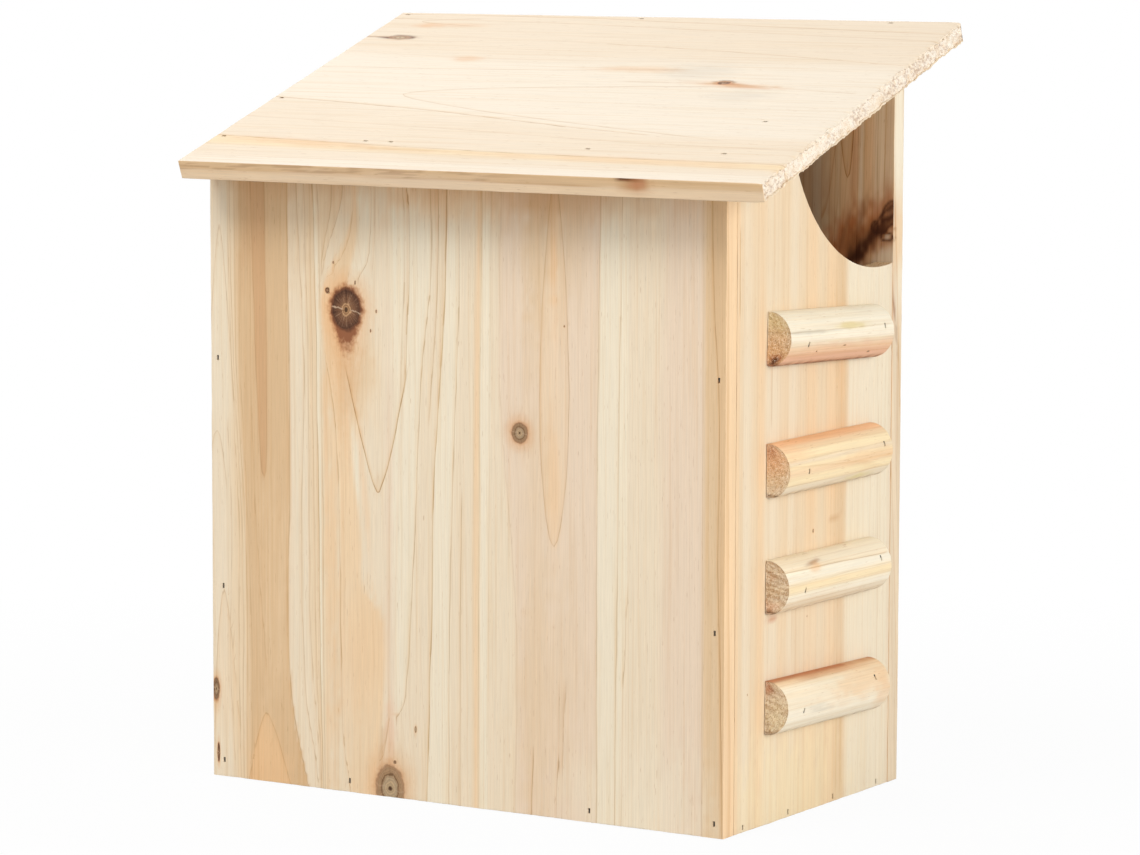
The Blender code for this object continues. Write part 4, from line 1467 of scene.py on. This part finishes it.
FASCIA_STAINS = (
    ("brown", 0.9, 2, 261, 5.5, 8),
    ("rust", 0.7, 3, 263.5, 3.4, 4.2),
    ("umber", 0.9, 0.3, 258, 1.5, 6.5),
    ("pitch", 0.7, 0.5, 256, 0.8, 4),
    ("rose", 0.4, 6, 120, 4, 60),
)
print("roof lines", len(ROOF_LINES["paths"]), "stains", len(ROOF_STAINS))

# %% The rough cut
CUT_TONE = linear((252, 244, 230))
# Darker colour for random patches of the cut and for painted shade in its pits.
CUT_PATCH_AND_PIT_SHADE = linear((230, 200, 160))
LIP_TONE = linear((236, 216, 186))
GAP_DARK = np.array((0.25, 0.38, 0.5))
FASCIA_LINE = 4.4
CORNER_ROUND = 3.5
BITE_ABOVE, CRUMB_ABOVE = 0.40, 0.30
BITE_DEPTH, CRUMB_DEPTH, UPPER_CRUMB, BITE_FADE = 2.2, 1.5, 2.4, 1.3
TOP_SKIM = 0.03


def torn_end(points, outward, size):
    """Crumbled end grain and chipped edges at the far end: random pits on the cut, and bites out
    of the faces that fade with distance from it. Fibres are torn along the front edge too."""
    a, d, g = points.T
    pits = 0.3 + 0.8 * soft_random(41, a / 3.2, d / 2.4) + 0.65 * soft_random(42, a / 1.1, d)
    from_cut = size[2] - g
    bite = np.maximum(soft_random(43, a / 5.0, 0.0 * a) - BITE_ABOVE, 0.0) * BITE_DEPTH
    crumb = np.maximum(soft_random(47, a / 1.7, 0.0 * a) - CRUMB_ABOVE, 0.0) * CRUMB_DEPTH
    under, over = facing(outward, 1), facing(-outward, 1)
    chips = (under * (bite + crumb) + over * UPPER_CRUMB * crumb) * np.exp(-from_cut / BITE_FADE)
    torn = facing(outward, 2) * pits + chips
    torn = torn + TOP_SKIM * over
    patches = soft_step((soft_random(40, a / 14.0, d / 6.0) - 0.45) / 0.3)
    specks = 0.45 * patches * soft_step((soft_random(44, a, d / 0.9) - 0.66) / 0.16)
    front_edge = facing(outward, 0, 2.0, 0.8) * (d < FASCIA_LINE)
    fibres = 0.30 * soft_step((soft_random(49, g / 8.0, d / 0.7) - 0.62) / 0.2)
    fibres = fibres * soft_step((190.0 - g) / 80.0)
    return torn, facing(outward, 2) * specks + front_edge * fibres


deepest = BITE_DEPTH * (1.0 - BITE_ABOVE) + CRUMB_DEPTH * (1.0 - CRUMB_ABOVE)
print("the lower edge is bitten up to", round(deepest, 2), "mm deep")


# %% Roof board
def round_corner(points, size):
    """The rear right corner of the roof, rounded in plan."""
    a, d, g = points.T
    in_a = np.maximum(CORNER_ROUND - a, 0.0)
    in_g = np.maximum(g - (size[2] - CORNER_ROUND), 0.0)
    far = np.maximum(np.hypot(in_a, in_g), 1e-9)
    share = np.minimum(CORNER_ROUND / far, 1.0)
    a = np.where(in_a * in_g > 0, CORNER_ROUND - in_a * share, a)
    g = np.where(in_a * in_g > 0, size[2] - CORNER_ROUND + in_g * share, g)
    return np.column_stack([a, d, g])


def roof_paint(tone, points, outward, size):
    """The sawn front edge is brown above and paler below a wandering line, with half a knot; the
    rough cut is pale with darker patches and painted shade in its deeper pits, and the lip that its
    bites leave underneath is pale too."""
    a, d, g = points.T
    level = FASCIA_LINE + 0.8 * soft_random(45, g / 40.0) - 0.4
    streaks = 1.0 + 0.08 * (soft_random(46, d / 0.9, g / 26.0)[:, None] - 0.5)
    edge = mixed(FASCIA_UPPER, FASCIA_LOWER, soft_step((d - level) / 2.0)) * streaks
    gap = np.exp(-(((d - level) / 0.4) ** 2)) * soft_step((g - 120.0) / 30.0) * soft_step((240.0 - g) / 20.0)
    edge = stained(edge * (1.0 - gap[:, None] * GAP_DARK), d, g, FASCIA_STAINS)
    tone = mixed(tone, edge, facing(outward, 0, 2.0, 0.8))
    deep = soft_random(42, a / 1.1, d)
    # Painted shade: the deeper pits of the rough cut get the darker colour, beside random darker patches.
    shade = 0.5 * soft_random(48, a / 4.0, d / 3.0) ** 2 + 0.4 * deep**3
    tone = mixed(tone, mixed(CUT_TONE, CUT_PATCH_AND_PIT_SHADE, shade), facing(outward, 2, 2.0, 0.8))
    return mixed(tone, LIP_TONE, facing(outward, 1) * np.exp((g - size[2]) / 2.5))


cut = roof.size[2] - np.array([0.2, 0.5, 1.0, 1.6, 2.3, 3.2, 4.4])
make_board(roof, ROOF_WOOD, ROOF_LINES, ROOF_KNOTS, ROOF_ARCHES, ROOF_STAINS, seed=17,
           rough=torn_end, paint=roof_paint, shape=round_corner, steps=(0.9, 0.7, 4.0),
           material=ROOF_FIR, painted_light=(0.885, 0.865, 0.895), closer=((), cut))

# %% [markdown]
# ## The rungs
# Each rung is half of a round stick, nailed on through its crest. The box of the lattice turns
# into a half-round by drawing every column in to the height of the arc above it, the square
# root of R*R less the squared distance from the middle. Each one leans its own way, and each
# has its own colour on the round and on the sawn ends, from the top one down.

# %% Half-round sticks
RUNG_LIP = 0.5
FACET, FLAT_SHARE = np.radians(24.0), 0.7
CHIP_FADE, CHIP_DEPTH, END_CRUMB = 1.6, 2.6, 0.55


def half_round(points, size):
    """Columns of the box shortened from full depth to the arc's height over the flat back."""
    a, d, g = points.T
    radius = size[0] / 2
    arc = np.sqrt(np.maximum(1.0 - ((a - radius) / radius) ** 2, 0.0))
    height = RUNG_LIP + (size[1] - RUNG_LIP) * arc
    return np.column_stack([a, size[1] - (1.0 - d / size[1]) * height, g])


def stick(points, outward, size):
    """Flats left by the moulding knife, a chord's depth below the arc, and a chipped lower edge that is
    darker in an uneven line.
    """
    a, d, g = points.T
    turn = np.arccos(np.clip(1.0 - 2.0 * a / size[0], -1.0, 1.0)) + 0.4 * size[0]
    off = np.mod(turn, FACET) - FACET / 2
    flats = facing(-outward, 1) * size[0] / 2 * (1.0 - np.cos(FACET / 2) / np.cos(off)) * FLAT_SHARE
    low = np.exp(-((size[0] - a) / CHIP_FADE) ** 2)
    chips = low * np.maximum(soft_random(51, g / 2.2, a / 4.0) - 0.35, 0.0) * CHIP_DEPTH
    crumbly = facing(-outward, 2) * soft_random(53, a, d) * END_CRUMB
    return flats + chips + crumbly, np.clip(low * (soft_random(52, g / 2.2) - 0.25), 0.0, 0.8)


print("flats are", round(float(np.degrees(FACET))), "degrees wide")

# %% Rung tables
RUNG_WOODS = (
    (0, 27, 1, 1, 0, 2.3, 0.4),
    (0, 18, 14, 2, 0, 2.4, 0.4),
    (0, 40, 4, -1, 0, 2.6, 0.6),
    (0, 30, -11, 2, 0, 1.9, 0.4),
)
RUNG_LINES = (
    (
        ("white", 0, 1, (0, 0)),
        ("white", 0.35, 1, (10, 0), (9, 100)),
        ("pale", 0.05, 4, (14, 0)),
        ("peach", 0.15, 3, (16.5, 0)),
        ("blush", 0.2, 4, (20.5, 0)),
    ),
    (
        ("coral", 0, 1, (0, 0)),
        ("peach", 0.1, 2.4, (1.7, 0)),
        ("butter", 0.1, 3, (4, 0)),
        ("cream", 0.2, 2.5, (8.4, 0)),
        ("butter", 0.05, 3, (10.2, 0)),
        ("peach", 0.1, 4, (12.6, 0)),
        ("butter", 0.05, 4, (15.8, 0)),
        ("pale", 0.3, 2.5, (20.4, 0)),
    ),
    (
        ("ivory", 0, 1, (0, 0)),
        ("white", 0.6, 1.4, (5.4, 0), (6.6, 100)),
        ("butter", 0.2, 3, (11.5, 0)),
        ("white", 0.2, 4, (16, 0)),
        ("pale", 0.2, 2, (21, 0)),
    ),
    (
        ("rust", 0, 1, (0, 0)),
        ("peach", 0.1, 1, (0.6, 0)),
        ("ivory", 0.1, 3, (2.4, 0)),
        ("white", 0.05, 6, (13, 0)),
    ),
)
RUNG_KNOTS = (
    ((19.5, 28, 0.35, 0.5, 0.9), (17.6, 55, 0.3, 1.2, 0.5), (22, 84, 0.4, 1.2, 0.5)),
    (),
    (),
    (),
)
RUNG_STAINS = (
    (("olive", 0.7, 8.2, 62, 1.4, 13), ("grey", 0.6, 9.9, 22, 0.8, 26),
     ("blush", 0.5, 21, 60, 4.5, 80), ("umber", 0.85, 26.4, 50, 1.5, 70)),
    (("apricot", 0.35, 13, 80, 3, 30, -0.02), ("olive", 0.7, 23, 74, 1.6, 14),
     ("coral", 0.4, 4, 0, 4, 22)),
    (("umber", 0.7, 3.6, 30, 0.7, 7, -0.08), ("apricot", 0.6, 5.6, 31, 1.9, 6, -0.06),
     ("peach", 0.3, 22, 30, 4, 40)),
    (("rust", 0.5, 1.2, 60, 0.9, 44), ("peach", 0.8, 6, 92, 7, 42, -0.10),
     ("apricot", 0.45, 13, 99, 11, 8),
     ("grey", 0.35, 14.5, 30, 1.2, 10), ("grey", 0.35, 16.6, 34, 0.9, 10)),
)
TOP_PAINTED_LIGHT = np.array((0.06, 0.08, 0.08))
END_LATE = np.array((0.30, 0.42, 0.52))
END_TONES = ("tan", "cream", "cream", "cream")
END_STREAKS = (0.1, 0.2, 0.95, 0.7)
END_STAINS = (
    (("olive", 0.5, 3, 8, 7, 8), ("apricot", 0.8, 20, 8, 9, 9),
     ("amber", 0.8, 22.8, 7, 3.2, 5), ("pitch", 0.85, 23.4, 7, 1.7, 2.8)),
    (("apricot", 0.6, 12, 8, 9, 8), ("coral", 0.7, 6, 9, 7, 8, 0.3),
     ("rust", 0.5, 3, 10, 4, 6, 0.3)),
    (("brown", 0.5, 8, 10, 1.6, 3), ("blush", 0.6, 23, 10, 4, 6)),
    (("rust", 0.8, 2.2, 10.5, 4, 4), ("olive", 0.3, 18, 6, 8, 8)),
)
print("rungs", len(RUNG_WOODS), "stains", sum(len(stains) for stains in RUNG_STAINS))

# %% Rungs
RUNG_LEANS = np.radians((-2.2, 0.2, -0.4, -1.6))


def end_paint(number):
    """Paint function of a rung: its upper side gets painted light, and its cut ends are duller
    than the round, with layers of late wood."""
    def paint(tone, points, outward, size):
        a, d, _ = points.T
        # Painted light: the upper side of the rung is lightened.
        high = soft_step(0.5 - a[:, None] / size[0] * 2.0)
        tone = tone * (1.0 + high * TOP_PAINTED_LIGHT)
        layers = soft_random(71 + number, a + 0.25 * d, d / 7.0)[:, None]
        dull = stained(0.3 * tone + 0.7 * linear(TONES[END_TONES[number]]), a, d, END_STAINS[number])
        late = END_STREAKS[number] * soft_step((layers - 0.55) / 0.3)
        return mixed(tone, dull * (1.0 - late * END_LATE), facing(np.abs(outward), 2, 2.0, 0.8))
    return paint


for number, lean in enumerate(RUNG_LEANS):
    along = (0.0, np.cos(lean), np.sin(lean))
    brads = tuple(f"rung_brad_{2 * number + which}" for which in (1, 2))
    rung = Board(f"rung_{number + 1}", RIGHT, along, brads)
    turn = rung.size[0] / 2 * (1.0 - np.cos(np.linspace(0.0, np.pi, 60)))
    make_board(rung, strips(RUNG_WOODS[number]), chart(*RUNG_LINES[number]), RUNG_KNOTS[number],
               (), RUNG_STAINS[number], steps=(0.8, 0.7, 1.5), seed=21 + number, shape=half_round,
               rough=stick, paint=end_paint(number), material=RUNG_FIR, wear=0.3,
               painted_light=(1.05, 1.05, 1.06), closer=(turn, ()))

# %% [markdown]
# ## Splinters at the rough cut
# Where the saw leaves the wood it tears fibres loose, and they stay hanging from the lower edge
# of the roof's end. Hair strands would be too even, so each one is a thin tapering tube along
# its own bent path, and all of them share one mesh.

# %% Splinters
SPLINTERS = 46
SIDES, RINGS = 5, 6
SPLINTER_GRAIN = 900.0


def splinters(count, seed):
    """Roots along the lower edge, a bent path for each, and a ring of points round each step."""
    rng = np.random.default_rng(seed)
    root_a = np.sort(rng.uniform(3.0, roof.size[0] - 2.0, count))
    root_a[: count // 4] = rng.uniform(roof.size[0] - 46.0, roof.size[0] - 4.0, count // 4)
    length = rng.uniform(0.6, 2.2, count)
    lean = rng.uniform(-0.7, 0.7, count)
    sweep = rng.uniform(-0.5, 0.1, count)
    t = np.linspace(0.0, 1.0, RINGS)[None, :, None]
    turn = np.linspace(0.0, 2.0 * np.pi, SIDES, endpoint=False)[None, None, :]
    thick = rng.uniform(0.16, 0.42, count)[:, None, None] * (1.0 - 0.92 * t)
    reach = length[:, None, None]
    a = root_a[:, None, None] + lean[:, None, None] * reach * t**1.5 + thick * np.cos(turn) * 1.5
    d = roof.size[1] - 1.0 + reach * t * (1.0 - 0.25 * t)
    g = roof.size[2] - 1.1 + sweep[:, None, None] * reach * t + thick * np.sin(turn)
    a, d, g = np.broadcast_arrays(a, d, g)
    ids = np.arange(count * RINGS * SIDES).reshape(count, RINGS, SIDES)
    nxt = np.roll(ids, -1, axis=2)
    walls = np.stack([ids[:, :-1], ids[:, 1:], nxt[:, 1:], nxt[:, :-1]], axis=-1).reshape(-1, 4)
    return np.stack([a.ravel(), d.ravel(), g.ravel()], axis=1), walls, ids


points, walls, ids = splinters(SPLINTERS, 61)
caps = np.concatenate([ids[:, 0, :], ids[:, -1, ::-1]])
rings, _ = ring_numbers(*points.T, strips((0, 60, 10, 1, 0, 4, 0.3)), ())
count = len(points)
values = {
    "grain": points[:, [0, 2, 1]] + SPLINTER_GRAIN,
    "rings": rings,
    "tone": np.tile(CUT_TONE, (count, 1)),
    "drawn": np.zeros((count, 3)),
    "arch": np.tile((FAR, 0.0, 0.0), (count, 1)),
    "knot": np.tile((FAR, FAR, 0.0), (count, 1)),
    "reach": np.full(count, FAR),
    "marks": np.tile((0.3, 0.0, 0.0), (count, 1)),
}
skins = walls.tolist() + caps.tolist()
loose = write_mesh("roof_splinters", roof.place(*points.T), skins, values, ROOF_FIR)
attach(loose, "root")
print("splinters", SPLINTERS, "points", count)

# %% [markdown]
# ## The brads
# The brads are thin dull wire with flat heads, driven just under the surface. Their nodes have
# the right shape, so they stay and only get a finish: grey-brown steel, unevenly stained. Its
# pattern counts in metres, since it reads the brads' own coordinates.

# %% Brad steel
STEEL_TONES = ((0.3, (0.035, 0.028, 0.022)), (0.55, (0.10, 0.085, 0.07)), (0.8, (0.17, 0.14, 0.11)))
STEEL_METAL = 0.8
STEEL_RELIEF = 0.00005

PATTERNS["steel_stain"] = ((1500.0, 1500.0, 1500.0), 3.0, 0.6)

steel, tree = new_material("brad_steel")
shader = tree.nodes["Principled BSDF"]
stain = pattern(tree, "steel_stain", add(tree, "TexCoord").outputs["Object"])
dull = add(tree, "Bump", {"Strength": 0.3, "Distance": STEEL_RELIEF, "Height": stain}).outputs[0]
tree.links.new(ramp(tree, stain, STEEL_TONES), shader.inputs["Base Color"])
tree.links.new(rescale(tree, stain, 0.3, 0.7, 0.62, 0.42), shader.inputs["Roughness"])
tree.links.new(dull, shader.inputs["Normal"])
shader.inputs["Metallic"].default_value = STEEL_METAL
brads = [node for name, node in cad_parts.items() if "_brad_" in name]
for node in brads:
    for slot in node.material_slots:
        slot.material = steel
print("brads finished", len(brads))
